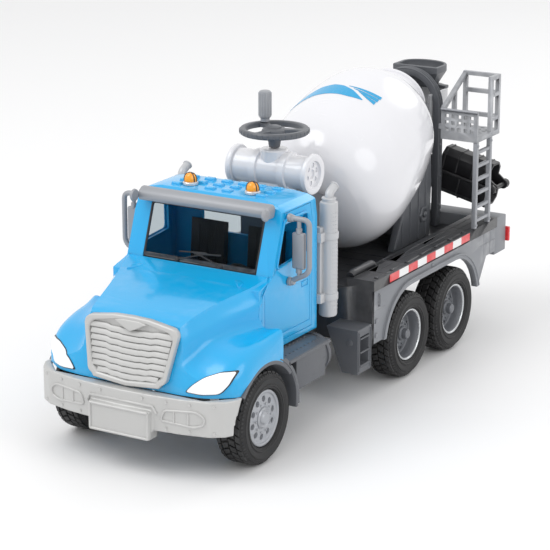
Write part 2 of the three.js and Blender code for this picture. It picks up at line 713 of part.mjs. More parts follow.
// The lower half of a bearing round the drum's neck, on a post, with a cheek each side that follows the drum.
function rearSupport() {
  const deckLine = deck.wellFloor + gap;
  const seat = drum.mouth + runningGap;
  const from = drum.neck + 1;
  const [, y, z] = alongDrum(from + saddle.length / 2);
  const profile = [
    [seat, from], [seat + saddle.wall, from], [seat + saddle.wall, from + saddle.length],
    [seat, from + saddle.length],
    [seat, from],
  ];
  const lowerHalf = box(-60, 60, y - 60, y + 60, z - 60, z - 2);
  const collar = common(turned(profile, drumCentre, drumAxis, 32), lowerHalf);
  const bore = turned(
    [[0, from - 60], [seat + 0.5, from - 60], [seat + 0.5, drumRear + 60], [0, drumRear + 60]],
    drumCentre, drumAxis,
  );
  const post = box(-20, 20, y - 8, y + 15, deckLine, z - seat + 4);
  const cheek = prismX([
    [y - 64, deckLine], [y - 2, deckLine], [y, 122], [y - 2, 152], [y - 12, 156], [y - 44, 120],
  ], 30, 35);
  const base = box(-32, 32, y - 20, y - 2, deckLine, 112);
  return join(
    cut(join(post, bothSides(cheek), base), bore, drumEnvelope(3)),
    cut(collar, drumEnvelope(runningGap / 2)),
  );
}

// The upright arch behind the mouth, standing on the deck astride the collector, or its space with a clearance.
function hopperArch(extra = 0) {
  const inner = collector.radius + runningGap - extra;
  const outer = inner + arch.wall + 2 * extra;
  const foot = deck.wellFloor + gap;
  const outline = [[outer, foot], ...arc(0, arch.z, outer, 0, 180, 20), [-outer, foot], [-inner, foot]];
  const hole = [...arc(0, arch.z, inner, 180, 0, 20), [inner, foot]];
  return prismY([...outline, ...hole], archRear - arch.depth - extra, archRear + extra);
}

// The open-fronted bin under the mouth: cheeks and a round back, and below them a cone down to the outlet.
function collectorBin() {
  const { y, radius, wall, top, waist, bottom, outlet, front } = collector;
  const plan = (r, y0) => [[r, y0], ...arc(0, y, r, 0, 180, 14), [-r, y0]];
  const shell = cut(
    prismZ(plan(radius, front), waist, top),
    prismZ(plan(radius - wall, front - 1), waist - 1, top + 1),
  );
  const profile = [
    [outlet, bottom], [radius, waist - 2], [radius, waist + 1], [radius - wall, waist + 1],
    [radius - wall, waist - 1],
    [outlet - wall, bottom], [outlet, bottom],
  ];
  const cone = turned(profile, [0, y, 0], new THREE.Vector3(0, 0, 1), 28);
  const overCheeks = box(-radius + wall, radius - wall, front - 1, y, waist - 0.1, top);
  const chin = prismX([
    [front, waist - 1], [front, waist + 1.5], [y - radius + 3, waist + 1.5],
    [y - radius + 3, waist - 1],
  ],
    -radius, radius);
  return cut(join(shell, cut(cone, overCheeks), chin), drumEnvelope(1.5), hopperArch(gap));
}

function hopperBin() {
  const { y, halfX, halfY, top, wall } = hopper;
  const low = collector.top + gap;
  const tub = (inset, below) => common(
    prismX([
      [y - halfY + inset, top + below], [y - halfY + inset + 4, low - below],
      [y + halfY - inset - 8, low - below],
      [y + halfY - inset, top + below],
    ], -halfX - 1, halfX + 1),
    prismY([
      [-halfX + inset, top + below], [-halfX + inset + 7, low - below], [halfX - inset - 7, low - below],
      [halfX - inset, top + below],
    ], y - halfY - 1, y + halfY + 1),
  );
  const flange = box(-collector.radius, collector.radius, y - 5, y + 1, low, low + 2.5);
  return cut(join(tub(0, 0), flange), tub(wall, 1));
}

function waterTank() {
  const { y, z, radius, half, body } = gearTank;
  const profile = [[0, -half], [radius, -half], [radius, -half + 4], [body, -half + 5]];
  const ribs = [-12, 12].flatMap((s) => [
    [body, s - 3], [radius - 0.8, s - 2], [radius - 0.8, s + 2], [body, s + 3],
  ]);
  const mirroredEnd = profile.map(([r, h]) => [r, -h]).reverse();
  const shell = turned([...profile, ...ribs, ...mirroredEnd], [0, y, z], new THREE.Vector3(1, 0, 0), 28);
  const collar = rod([0, y, z], [0, y, z + radius + 1], 10, 24);
  const foot = box(-16, 16, y - 9, y + 9, z - radius, z - body + 4);
  return join(shell, collar, foot);
}

function crankWheel() {
  const { z, rim: r, thickness, stem } = crank;
  const base = gearTank.z + gearTank.radius + 1 + runningGap;
  const at = [0, gearTank.y, 0];
  const up = new THREE.Vector3(0, 0, 1);
  const rimProfile = [
    [r - 4.5, z - thickness / 2], [r - 1, z - thickness / 2], [r, z], [r - 1, z + thickness / 2],
    [r - 4.5, z + thickness / 2], [r - 4.5, z - thickness / 2],
  ];
  const hub = turned(
    [[0, base], [4, base], [4.6, base + 3], [stem, z - 1.5], [stem, z + 1.6], [0, z + 1.6]], at, up,
    24,
  );
  const spokes = [90, 210, 330].map((degrees) => {
    const angle = THREE.MathUtils.degToRad(degrees + 51);
    const reach = r - 3;
    return rod(
      [0, gearTank.y, z], [reach * Math.cos(angle), gearTank.y + reach * Math.sin(angle), z], 1.6,
      10,
    );
  });
  const web = cut(
    turned([[0, z - 1], [r - 4, z - 1], [r - 4, z + 0.6], [0, z + 0.6]], at, up, 28),
    ...[0, 120, 240].map((degrees) => {
      const angle = THREE.MathUtils.degToRad(degrees + 81);
      const reach = (r + stem) / 2 - 2;
      return rod([reach * Math.cos(angle), gearTank.y + reach * Math.sin(angle), z - 5],
        [reach * Math.cos(angle), gearTank.y + reach * Math.sin(angle), z + 5], 4.5, 16);
    }),
  );
  return join(turned(rimProfile, at, up, 28), hub, web, ...spokes);
}

function crankKnob() {
  const { z, thickness, knobRadius: r, knobTop, rim: reach } = crank;
  const angle = THREE.MathUtils.degToRad(141);
  const out = reach - 5.5;
  const at = [out * Math.cos(angle), gearTank.y + out * Math.sin(angle), 0];
  const low = z + thickness / 2 + gap;
  const profile = [
    [0, low], [r - 1.6, low], [r - 1.6, low + 2.5], [r, low + 4], [r, knobTop - 1],
    [r - 1, knobTop], [0, knobTop],
  ];
  return turned(profile, at, new THREE.Vector3(0, 0, 1), 20);
}

// ---- Chute ----
// The trough is drawn pointing along +X from the pivot and then tipped by its slope.
const slope = THREE.MathUtils.degToRad(chute.slope);
const chuteFloor = chute.base + 15; // underside of the trough at the pivot
const tipped = (body) => {
  const geometry = geometryOf(body).rotateY(slope).translate(0, collector.y, chuteFloor);
  return solid(geometry);
};
const pinAt = [chute.outer - 4, chute.height + 0.65];

function troughOutline(width, height, wall) {
  const half = width / 2;
  const outside = [[half, height], [half, 5], [half - 5, 0]];
  const inside = [[half - wall, height], [half - wall, 5 + wall / 2], [half - 5 - wall / 3, wall]];
  const left = (points) => points.map(([v, w]) => [-v, w]);
  return [...outside, ...left(outside).reverse(), ...left(inside), ...inside.reverse()];
}

function chuteMain() {
  const { width, height, wall, inner, outer } = chute;
  const trough = prismX(troughOutline(width, height, wall), inner, outer - 8);
  const half = width / 2;
  const ears = [-1, 1].map((side) => {
    const [y0, y1] = side < 0 ? [-half, -half + wall] : [half - wall, half];
    const plateShape = prismY([
      [outer - 20, 4], [outer - 4, pinAt[1] - 4], [outer - 0.5, pinAt[1] - 2],
      [outer - 0.5, pinAt[1] + 2],
      [outer - 4, pinAt[1] + 4], [outer - 14, height],
    ], y0, y1);
    return plateShape;
  });
  const pin = rod([pinAt[0], -half, pinAt[1]], [pinAt[0], half, pinAt[1]], extension.pin, 12);
  const body = tipped(join(trough, ...ears, pin));
  const hub = cut(
    rod([0, collector.y, chute.base], [0, collector.y, chuteFloor + 2], 7, 24),
    tipped(box(-20, 20, -20, 20, wall, 40)),
  );
  return join(body, hub);
}

function chuteExtension() {
  const { width, length, pin, ear } = extension;
  const top = chute.height + 0.65;
  const flipped = troughOutline(
    width, chute.height, chute.wall - 0.2,
  ).map(([v, w]) => [v, top + chute.height - w]);
  const far = pinAt[0] - 6;
  const trough = prismX(flipped.reverse(), far - length, far);
  const half = width / 2;
  const ears = [-1, 1].map((side) => {
    const [y0, y1] = side < 0 ? [-half, -half + 1.8] : [half - 1.8, half];
    return join(
      prismY([[far - 8, top], [pinAt[0], top], [pinAt[0] + ear, top + 2], [far - 8, top + 11]], y0, y1),
      rod([pinAt[0], y0, top], [pinAt[0], y1, top], ear, 16),
    );
  });
  const bore = rod([pinAt[0], -half - 1, top], [pinAt[0], half + 1, top], pin + gap, 16);
  return tipped(cut(join(trough, ...ears), bore));
}

// ---- Platform and ladder ----
function servicePlatform() {
  const { inner, front, rear, floor, railTop, bar } = platform;
  const outer = sideX - 0.5;
  const plateBody = box(inner, outer, front, rear, floor, floor + 4);
  const fascia = box(inner, outer, front, front + 2, floor, floor + 24);
  const post = (x, y, z1) => box(x, x + bar, y, y + bar, floor, z1);
  const beam = (x0, x1, y0, y1, z) => box(x0, x1, y0, y1, z - bar / 2, z + bar / 2);
  const rearY = rear - bar;
  const gate = ladder.rear - bar;
  const railHeights = [floor + 14, (floor + 14 + railTop) / 2 + 2, railTop - bar / 2];
  const rearRails = railHeights.map((z) => beam(inner, outer, rearY, rear, z));
  const sideRails = railHeights.map((z) => beam(outer - bar, outer, gate, rear, z));
  const slant = prismX([
    [front, floor + 22], [rearY + 1, railTop - bar], [rearY + 1, railTop], [front, floor + 26],
  ], inner, inner + bar);
  const archSide = collector.radius + runningGap + arch.wall + gap;
  const bracket = box(archSide, inner + 1, archRear - arch.depth, archRear, floor, floor + 4);
  const posts = [
    post(inner, rearY, railTop), post(outer - bar, rearY, railTop), post(outer - bar, gate, railTop),
    post(inner, front + 18, floor + 36),
  ];
  return join(plateBody, fascia, ...rearRails, ...sideRails, slant, bracket, ...posts);
}

function accessLadder() {
  const outer = sideX - 0.5;
  const inner = outer - ladder.railDepth;
  const foot = deck.top + gap;
  const head = platform.floor - gap;
  const { front, rear, railDepth } = ladder;
  const rails = [front, rear - railDepth].map((y) => box(inner, outer, y, y + railDepth, foot, head));
  const count = Math.floor((head - foot - 8) / ladder.pitch) + 1;
  const rungs = Array.from({ length: count }, (_, i) => {
    const z = foot + 6 + i * ladder.pitch;
    return box(inner + 0.4, outer - 0.4, front + 1, rear - 1, z - 1.2, z + 1.2);
  });
  return join(...rails, ...rungs);
}

// ---- The truck ----
const truck = new THREE.Group();
truck.add(
  part("chassis_frame", chassisFrame(), darkGrey),
  wheels(),
  part("hood", noseShell(), blue),
  part("grille", noseGrille(), silver),
  part("front_bumper", frontBumper(), silver),
  ...pair("headlight", headlight(), lampWhite),
  part("cab_shell", cabShell(), blue),
  part("windshield", windshield(), clearSmoke),
  part("sun_visor", sunVisor(), midGrey),
  ...pair("door", doorPanel(), blue),
  ...pair("mirror", wingMirror(), midGrey),
  ...pair("beacon", beacon(), amber),
  part("dashboard", dashBody(), deckGrey),
  part("seats", seats(), deckGrey),
  part("steering_wheel", steeringWheel(), nearBlack),
  ...pair("side_step", sideStep(), darkGrey),
  ...pair("fender_flare", fenderFlare(), darkGrey),
  ...pair("exhaust", exhaustStack(), lightGrey),
  ...pair("side_box", wedgeBox(), darkGrey),
  part("deck", deckTray(), deckGrey),
  ...pair("side_skirt", sideSkirt(), skirtGrey),
  part("tail_block", tailBlock(), skirtGrey),
  ...pair("tail_lamp", tailLamp(), red),
  part("drum_front_support", frontSupport(), darkGrey),
  part("drum_rear_support", rearSupport(), darkGrey),
  part("drum", drumShell(), white),
  part("water_tank", waterTank(), white),
  part("crank_wheel", crankWheel(), darkGrey),
  part("crank_knob", crankKnob(), midGrey),
  part("collector", collectorBin(), lightGrey),
  part("hopper_arch", hopperArch(), darkGrey),
  part("hopper", hopperBin(), darkGrey),
  part("chute_main", chuteMain(), nearBlack),
  part("chute_extension", chuteExtension(), nearBlack),
  part("platform", servicePlatform(), midGrey),
  part("ladder", accessLadder(), midGrey),
);

// The origin is on the ground, under the middle of the truck's box.
const nose = bumper.front - plate.thickness;
const stern = Math.max(hopper.y + hopper.halfY, collector.y + collector.radius);
truck.position.y = -(nose + stern) / 2;

const model = new THREE.Group();
model.add(truck);
export default model;
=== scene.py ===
import math

import bmesh
import bpy
from mathutils import Matrix, Vector


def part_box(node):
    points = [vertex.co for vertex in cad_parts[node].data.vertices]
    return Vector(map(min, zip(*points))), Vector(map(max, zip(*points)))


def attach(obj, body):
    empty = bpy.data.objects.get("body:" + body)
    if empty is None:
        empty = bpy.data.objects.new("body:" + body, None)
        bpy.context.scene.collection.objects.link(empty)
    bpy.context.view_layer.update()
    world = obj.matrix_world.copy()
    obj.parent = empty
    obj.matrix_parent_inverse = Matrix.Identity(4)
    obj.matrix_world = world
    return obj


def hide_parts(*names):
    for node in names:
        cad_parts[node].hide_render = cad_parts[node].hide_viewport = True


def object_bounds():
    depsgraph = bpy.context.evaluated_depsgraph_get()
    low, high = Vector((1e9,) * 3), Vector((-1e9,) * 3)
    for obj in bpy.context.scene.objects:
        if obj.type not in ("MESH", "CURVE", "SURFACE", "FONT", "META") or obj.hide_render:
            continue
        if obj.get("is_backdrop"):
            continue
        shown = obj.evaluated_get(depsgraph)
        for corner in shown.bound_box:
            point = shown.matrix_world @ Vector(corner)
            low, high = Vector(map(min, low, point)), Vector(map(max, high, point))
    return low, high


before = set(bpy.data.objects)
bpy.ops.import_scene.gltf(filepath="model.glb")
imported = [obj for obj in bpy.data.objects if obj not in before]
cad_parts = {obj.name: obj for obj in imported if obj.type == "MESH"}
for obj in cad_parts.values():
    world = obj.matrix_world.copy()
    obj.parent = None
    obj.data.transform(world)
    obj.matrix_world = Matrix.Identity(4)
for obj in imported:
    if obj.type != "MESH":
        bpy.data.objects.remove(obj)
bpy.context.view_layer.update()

mm = 0.001
axleLow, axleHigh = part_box("axle_front")
frontAxleY = (axleLow.y + axleHigh.y) / 2  # pieces are drawn in mm, with y = 0 at the front axle
up = Vector((0, 0, 1))
across = Vector((1, 0, 0))
signs = {"left": 1, "right": -1}  # which way +x runs on each side
wheelRadius = 33
wheelX = 67  # from the middle of the truck to the middle of a wheel

# mesh helpers, all in mm


def newShape():
    return bmesh.new()


def block(shape, x0, x1, y0, y1, z0, z1):
    size = Matrix.Diagonal((x1 - x0, y1 - y0, z1 - z0, 1))
    place = Matrix.Translation(((x0 + x1) / 2, (y0 + y1) / 2, (z0 + z1) / 2))
    bmesh.ops.create_cube(shape, size=1, matrix=place @ size)


def loft(shape, rings, capped=True):
    # rings of equally many points, each joined to the next
    grid = [[shape.verts.new(p) for p in ring] for ring in rings]
    count = len(grid[0])
    for a, b in zip(grid, grid[1:]):
        for i in range(count):
            j = (i + 1) % count
            shape.faces.new((a[i], a[j], b[j], b[i]))
    if capped:
        shape.faces.new(grid[0][::-1])
        shape.faces.new(grid[-1])


def prism(shape, outline, axis, low, high):
    # an outline drawn out along x, y or z
    order = {
        "x": lambda a, b, t: (t, a, b), "y": lambda a, b, t: (a, t, b), "z": lambda a, b, t: (a, b, t),
    }[axis]
    loft(shape, [[order(a, b, t) for a, b in outline] for t in (low, high)])


def frameFor(axis):
    axis = Vector(axis).normalized()
    side = axis.cross(up if abs(axis.z) < 0.9 else across).normalized()
    return axis, side, axis.cross(side)


def rod(shape, start, end, radius, sides=20, endRadius=None):
    start, end = Vector(start), Vector(end)
    _, side, other = frameFor(end - start)
    radii = (radius, radius if endRadius is None else endRadius)
    turns = [2 * math.pi * i / sides for i in range(sides)]
    rings = [
        [centre + (side * math.cos(t) + other * math.sin(t)) * r for t in turns]
        for centre, r in zip((start, end), radii)
    ]
    loft(shape, rings)


def turned(shape, profile, origin, axis, sides=48, closed=False):
    # a profile of (radius, distance along the axis), spun round the axis
    axis, side, other = frameFor(axis)
    turns = [2 * math.pi * i / sides for i in range(sides)]
    rings = [
        [Vector(origin) + axis * h + (side * math.cos(t) + other * math.sin(t)) * max(r, 1e-4) for t in turns]
        for r, h in profile
    ]
    loft(shape, rings + ([rings[0]] if closed else []), capped=not closed)
    bmesh.ops.remove_doubles(shape, verts=shape.verts, dist=1e-3)


def tube(shape, points, radius, sides=12):
    # a round bar along a list of points
    points = [Vector(p) for p in points]
    rings = []
    side = None
    for i, p in enumerate(points):
        ahead = (points[min(i + 1, len(points) - 1)] - points[max(i - 1, 0)]).normalized()
        side = frameFor(ahead)[1] if side is None else (side - ahead * side.dot(ahead)).normalized()
        other = ahead.cross(side)
        turns = [2 * math.pi * k / sides for k in range(sides)]
        rings.append([p + (side * math.cos(t) + other * math.sin(t)) * radius for t in turns])
    loft(shape, rings)


def rounded(points, bend, steps=6):
    # a polyline with each inner corner replaced by a smooth bend
    points = [Vector(p) for p in points]
    path = [points[0]]
    for before, corner, after in zip(points, points[1:], points[2:]):
        a = corner + (before - corner).normalized() * bend
        b = corner + (after - corner).normalized() * bend
        for i in range(steps + 1):
            t = i / steps
            path.append(a * (1 - t) ** 2 + corner * 2 * t * (1 - t) + b * t * t)
    return path + [points[-1]]


def arc(cx, cy, radius, start, end, steps=12):
    turns = [math.radians(start + (end - start) * i / steps) for i in range(steps + 1)]
    return [(cx + radius * math.cos(t), cy + radius * math.sin(t)) for t in turns]


def cadCopy(node):
    # a CAD node's mesh as a new shape
    shape = newShape()
    shape.from_mesh(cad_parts[node].data)
    bmesh.ops.remove_doubles(shape, verts=shape.verts, dist=1e-6)
    for v in shape.verts:
        v.co = Vector((v.co.x / mm, (v.co.y - frontAxleY) / mm, v.co.z / mm))
    return shape


def tempObject(shape):
    mesh = bpy.data.meshes.new("temp")
    bmesh.ops.recalc_face_normals(shape, faces=shape.faces)
    shape.to_mesh(mesh)
    item = bpy.data.objects.new("temp", mesh)
    bpy.context.scene.collection.objects.link(item)
    return item


def applied(item):
    # the shape with its modifiers worked in, and the temporary object removed
    graph = bpy.context.evaluated_depsgraph_get()
    result = newShape()
    result.from_mesh(item.evaluated_get(graph).to_mesh())
    mesh = item.data
    bpy.data.objects.remove(item)
    bpy.data.meshes.remove(mesh)
    return result


def carve(shape, tools):
    # cuts the tools out of the shape
    item, cutter = tempObject(shape), tempObject(tools)
    cut = item.modifiers.new("cut", "BOOLEAN")
    cut.operation, cut.solver, cut.object, cut.use_self = "DIFFERENCE", "EXACT", cutter, True
    result = applied(item)
    mesh = cutter.data
    bpy.data.objects.remove(cutter)
    bpy.data.meshes.remove(mesh)
    return result


def softEdges(shape, width=0.4, segments=2, angle=28):
    # flat faces merged, then every sharp edge rounded a little, as a mould leaves it
    bmesh.ops.dissolve_limit(shape, angle_limit=math.radians(0.6), verts=shape.verts, edges=shape.edges)
    item = tempObject(shape)
    bevel = item.modifiers.new("bevel", "BEVEL")
    bevel.width, bevel.segments, bevel.limit_method = width, segments, "ANGLE"
    bevel.angle_limit = math.radians(angle)
    bevel.use_clamp_overlap = True
    return applied(item)


def moulded(shape, voxel=0.8, rounds=6, keep=0.4):
    # melted into one skin, smoothed and thinned
    item = tempObject(shape)
    remesh = item.modifiers.new("remesh", "REMESH")
    remesh.mode, remesh.voxel_size = "VOXEL", voxel
    smooth = item.modifiers.new("smooth", "SMOOTH")
    smooth.factor, smooth.iterations = 0.5, rounds
    thin = item.modifiers.new("thin", "DECIMATE")
    thin.ratio = keep
    return applied(item)


def addTo(shape, other):
    # puts another shape's faces into this one
    mesh = bpy.data.meshes.new("temp")
    other.to_mesh(mesh)
    shape.from_mesh(mesh)
    bpy.data.meshes.remove(mesh)
    other.free()


def flipX(shape):
    for v in shape.verts:
        v.co.x = -v.co.x
    bmesh.ops.reverse_faces(shape, faces=shape.faces)
    return shape


def facing(side, shape):
    # what is drawn for the left side, flipped when it goes on the right
    return flipX(shape) if side == "right" else shape


def finishPiece(name, shape, body, material, replaced=(), sharpAngle=32):
    # turns a shape into a piece on its body, in metres
    bmesh.ops.recalc_face_normals(shape, faces=shape.faces)
    for v in shape.verts:
        v.co = Vector((v.co.x * mm, v.co.y * mm + frontAxleY, v.co.z * mm))
    mesh = bpy.data.meshes.new(name)
    shape.to_mesh(mesh)
    shape.free()
    mesh.shade_smooth()
    mesh.set_sharp_from_angle(angle=math.radians(sharpAngle))
    piece = bpy.data.objects.new(name, mesh)
    bpy.context.scene.collection.objects.link(piece)
    mesh.materials.append(material)
    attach(piece, body)
    if replaced:
        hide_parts(*([replaced] if isinstance(replaced, str) else replaced))
    return piece


# shared effects


def newGroup(name, inputs, outputs):
    group = bpy.data.node_groups.new(name, "ShaderNodeTree")
    for label, kind, value in inputs:
        socket = group.interface.new_socket(name=label, in_out="INPUT", socket_type=kind)
        if value is not None:
            socket.default_value = value
    for label, kind in outputs:
        group.interface.new_socket(name=label, in_out="OUTPUT", socket_type=kind)
    return group, group.nodes.new("NodeGroupInput"), group.nodes.new("NodeGroupOutput")


def mathNode(tree, operation, a, b=None, clamp=False):
    node = tree.nodes.new("ShaderNodeMath")
    node.operation, node.use_clamp = operation, clamp
    for i, value in enumerate((a, b)):
        if value is None:
            continue
        if isinstance(value, (int, float)):
            node.inputs[i].default_value = value
        else:
            tree.links.new(value, node.inputs[i])
    return node.outputs[0]


def noiseNode(tree, vector, scale, detail=3.0, stretch=None):
    node = tree.nodes.new("ShaderNodeTexNoise")
    node.inputs["Detail"].default_value = detail
    if stretch:
        mapping = tree.nodes.new("ShaderNodeMapping")
        mapping.inputs["Scale"].default_value = stretch
        tree.links.new(vector, mapping.inputs["Vector"])
        vector = mapping.outputs[0]
    tree.links.new(vector, node.inputs["Vector"])
    if isinstance(scale, (int, float)):
        node.inputs["Scale"].default_value = scale
    else:
        tree.links.new(scale, node.inputs["Scale"])
    return node.outputs["Fac"]


def rangeNode(tree, value, low, high, outLow=0.0, outHigh=1.0):
    node = tree.nodes.new("ShaderNodeMapRange")
    tree.links.new(value, node.inputs["Value"])
    for label, amount in zip(("From Min", "From Max", "To Min", "To Max"), (low, high, outLow, outHigh)):
        node.inputs[label].default_value = amount
    return node.outputs[0]


def makeGrain():
    # the fine skin of moulded plastic, and a slow drift in its tone
    inputs = [
        ("Place", "NodeSocketVector", None), ("Grain Size", "NodeSocketFloat", 1800.0),
        ("Drift Size", "NodeSocketFloat", 28.0),
    ]
    tree, start, end = newGroup(
        "mouldedSkin", inputs, [("Height", "NodeSocketFloat"), ("Drift", "NodeSocketFloat")]
    )
    fine = noiseNode(tree, start.outputs["Place"], start.outputs["Grain Size"], 4)
    slow = noiseNode(tree, start.outputs["Place"], start.outputs["Drift Size"], 2)
    tree.links.new(fine, end.inputs["Height"])
    tree.links.new(slow, end.inputs["Drift"])
    return tree


def makeEdgeWear():
    # where corners stick out and hands have rubbed them
    tree, start, end = newGroup(
        "rubbedEdges", [("Place", "NodeSocketVector", None)], [("Mask", "NodeSocketFloat")]
    )
    geometry = tree.nodes.new("ShaderNodeNewGeometry")
    corner = rangeNode(tree, geometry.outputs["Pointiness"], 0.55, 0.72)
    patches = rangeNode(tree, noiseNode(tree, start.outputs["Place"], 140, 4), 0.35, 0.75)
    tree.links.new(mathNode(tree, "MULTIPLY", corner, patches, True), end.inputs["Mask"])
    return tree


def makeDust():
    # dust that settles on what faces up and in the creases
    tree, start, end = newGroup(
        "settledDust", [("Place", "NodeSocketVector", None)], [("Mask", "NodeSocketFloat")]
    )
    geometry = tree.nodes.new("ShaderNodeNewGeometry")
    split = tree.nodes.new("ShaderNodeSeparateXYZ")
    tree.links.new(geometry.outputs["Normal"], split.inputs[0])
    facingUp = rangeNode(tree, split.outputs["Z"], 0.1, 1.0)
    crease = rangeNode(tree, geometry.outputs["Pointiness"], 0.49, 0.42)
    cloud = rangeNode(tree, noiseNode(tree, start.outputs["Place"], 60, 5), 0.4, 0.8)
    both = mathNode(tree, "MAXIMUM", mathNode(tree, "MULTIPLY", facingUp, 0.45), crease, True)
    tree.links.new(mathNode(tree, "MULTIPLY", both, cloud, True), end.inputs["Mask"])
    return tree


def makeScuffs():
    # fine hair scratches, long in one direction, that only change the shine
    tree, start, end = newGroup(
        "hairScratches", [("Place", "NodeSocketVector", None)], [("Mask", "NodeSocketFloat")]
    )
    one = noiseNode(tree, start.outputs["Place"], 90, 2, (1, 14, 1))
    two = noiseNode(tree, start.outputs["Place"], 110, 2, (12, 1, 3))
    lines = mathNode(tree, "MAXIMUM", rangeNode(tree, one, 0.62, 0.7), rangeNode(tree, two, 0.64, 0.72), True)
    tree.links.new(lines, end.inputs["Mask"])
    return tree


grainGroup, edgeGroup, dustGroup, scuffGroup = makeGrain(), makeEdgeWear(), makeDust(), makeScuffs()


def placeGroup(tree, group, vector):
    node = tree.nodes.new("ShaderNodeGroup")
    node.node_tree = group
    tree.links.new(vector, node.inputs["Place"])
    return node


def mixColours(tree, factor, a, b, mode="MIX"):
    node = tree.nodes.new("ShaderNodeMix")
    node.data_type, node.blend_type = "RGBA", mode
    tree.links.new(factor, node.inputs["Factor"])
    for value, socket in ((a, node.inputs["A"]), (b, node.inputs["B"])):
        if isinstance(value, (tuple, list)):
            socket.default_value = (*value, 1)
        else:
            tree.links.new(value, socket)
    return node.outputs["Result"]


def linear(colour):
    # a screen colour as the renderer's own
    return tuple(c / 12.92 if c <= 0.04045 else ((c + 0.055) / 1.055) ** 2.4 for c in colour)


def plastic(name, look):
    # moulded plastic or rubber: tone drift, pale rubbed edges, dust, scratches in the shine, a fine skin and,
    # where asked, a painted glow
    material = bpy.data.materials.new(name)
    material.use_nodes = True
    tree = material.node_tree
    shader = tree.nodes["Principled BSDF"]
    place = tree.nodes.new("ShaderNodeTexCoord").outputs["Object"]
    base = linear(look["colour"])
    grain = placeGroup(tree, grainGroup, place)
    grain.inputs["Grain Size"].default_value = look.get("grainSize", 1800)
    grain.inputs["Drift Size"].default_value = look.get("driftSize", 26)
    drift = look.get("drift", 0.1)
    darker = tuple(c * (1 - drift) for c in base)
    lighter = tuple(min(1, c * (1 + drift * 0.5)) for c in base)
    colour = mixColours(tree, grain.outputs["Drift"], darker, lighter)
    worn = placeGroup(tree, edgeGroup, place)
    rubbed = tuple(c + (1 - c) * 0.5 for c in base)
    wearMask = mathNode(tree, "MULTIPLY", worn.outputs["Mask"], look.get("wear", 0.35))
    colour = mixColours(tree, wearMask, colour, rubbed)
    dust = placeGroup(tree, dustGroup, place)
    dustMask = mathNode(tree, "MULTIPLY", dust.outputs["Mask"], look.get("dust", 0.15))
    colour = mixColours(tree, dustMask, colour, linear((0.62, 0.61, 0.59)))
    tree.links.new(colour, shader.inputs["Base Color"])
    scuffs = placeGroup(tree, scuffGroup, place)
    rough = mathNode(tree, "MULTIPLY", scuffs.outputs["Mask"], look.get("scuffs", 0.08))
    rough = mathNode(tree, "ADD", rough, look["roughness"])
    rough = mathNode(tree, "ADD", rough, mathNode(tree, "MULTIPLY", dustMask, 0.5))
    rough = mathNode(tree, "ADD", rough, mathNode(tree, "MULTIPLY", grain.outputs["Drift"], 0.06), True)
    tree.links.new(rough, shader.inputs["Roughness"])
    bump = tree.nodes.new("ShaderNodeBump")
    bump.inputs["Distance"].default_value = look.get("grainDepth", 0.00004)
    bump.inputs["Strength"].default_value = look.get("grainStrength", 0.35)
    tree.links.new(grain.outputs["Height"], bump.inputs["Height"])
    tree.links.new(bump.outputs[0], shader.inputs["Normal"])
    shader.inputs["Metallic"].default_value = look.get("metallic", 0)
    shader.inputs["Coat Weight"].default_value = look.get("coat", 0)
    shader.inputs["Coat Roughness"].default_value = 0.08
    # emission in the base colour on lenses that hold no lit lamp: painted light
    if look.get("paintedGlow"):
        shader.inputs["Emission Color"].default_value = (*base, 1)
        shader.inputs["Emission Strength"].default_value = look["paintedGlow"]
    return material


def clearPlastic(name, look):
    # see-through plastic with faint wipe marks in its shine
    material = plastic(name, look)
    shader = material.node_tree.nodes["Principled BSDF"]
    shader.inputs["Transmission Weight"].default_value = look["clear"]
    shader.inputs["IOR"].default_value = 1.1
    return material


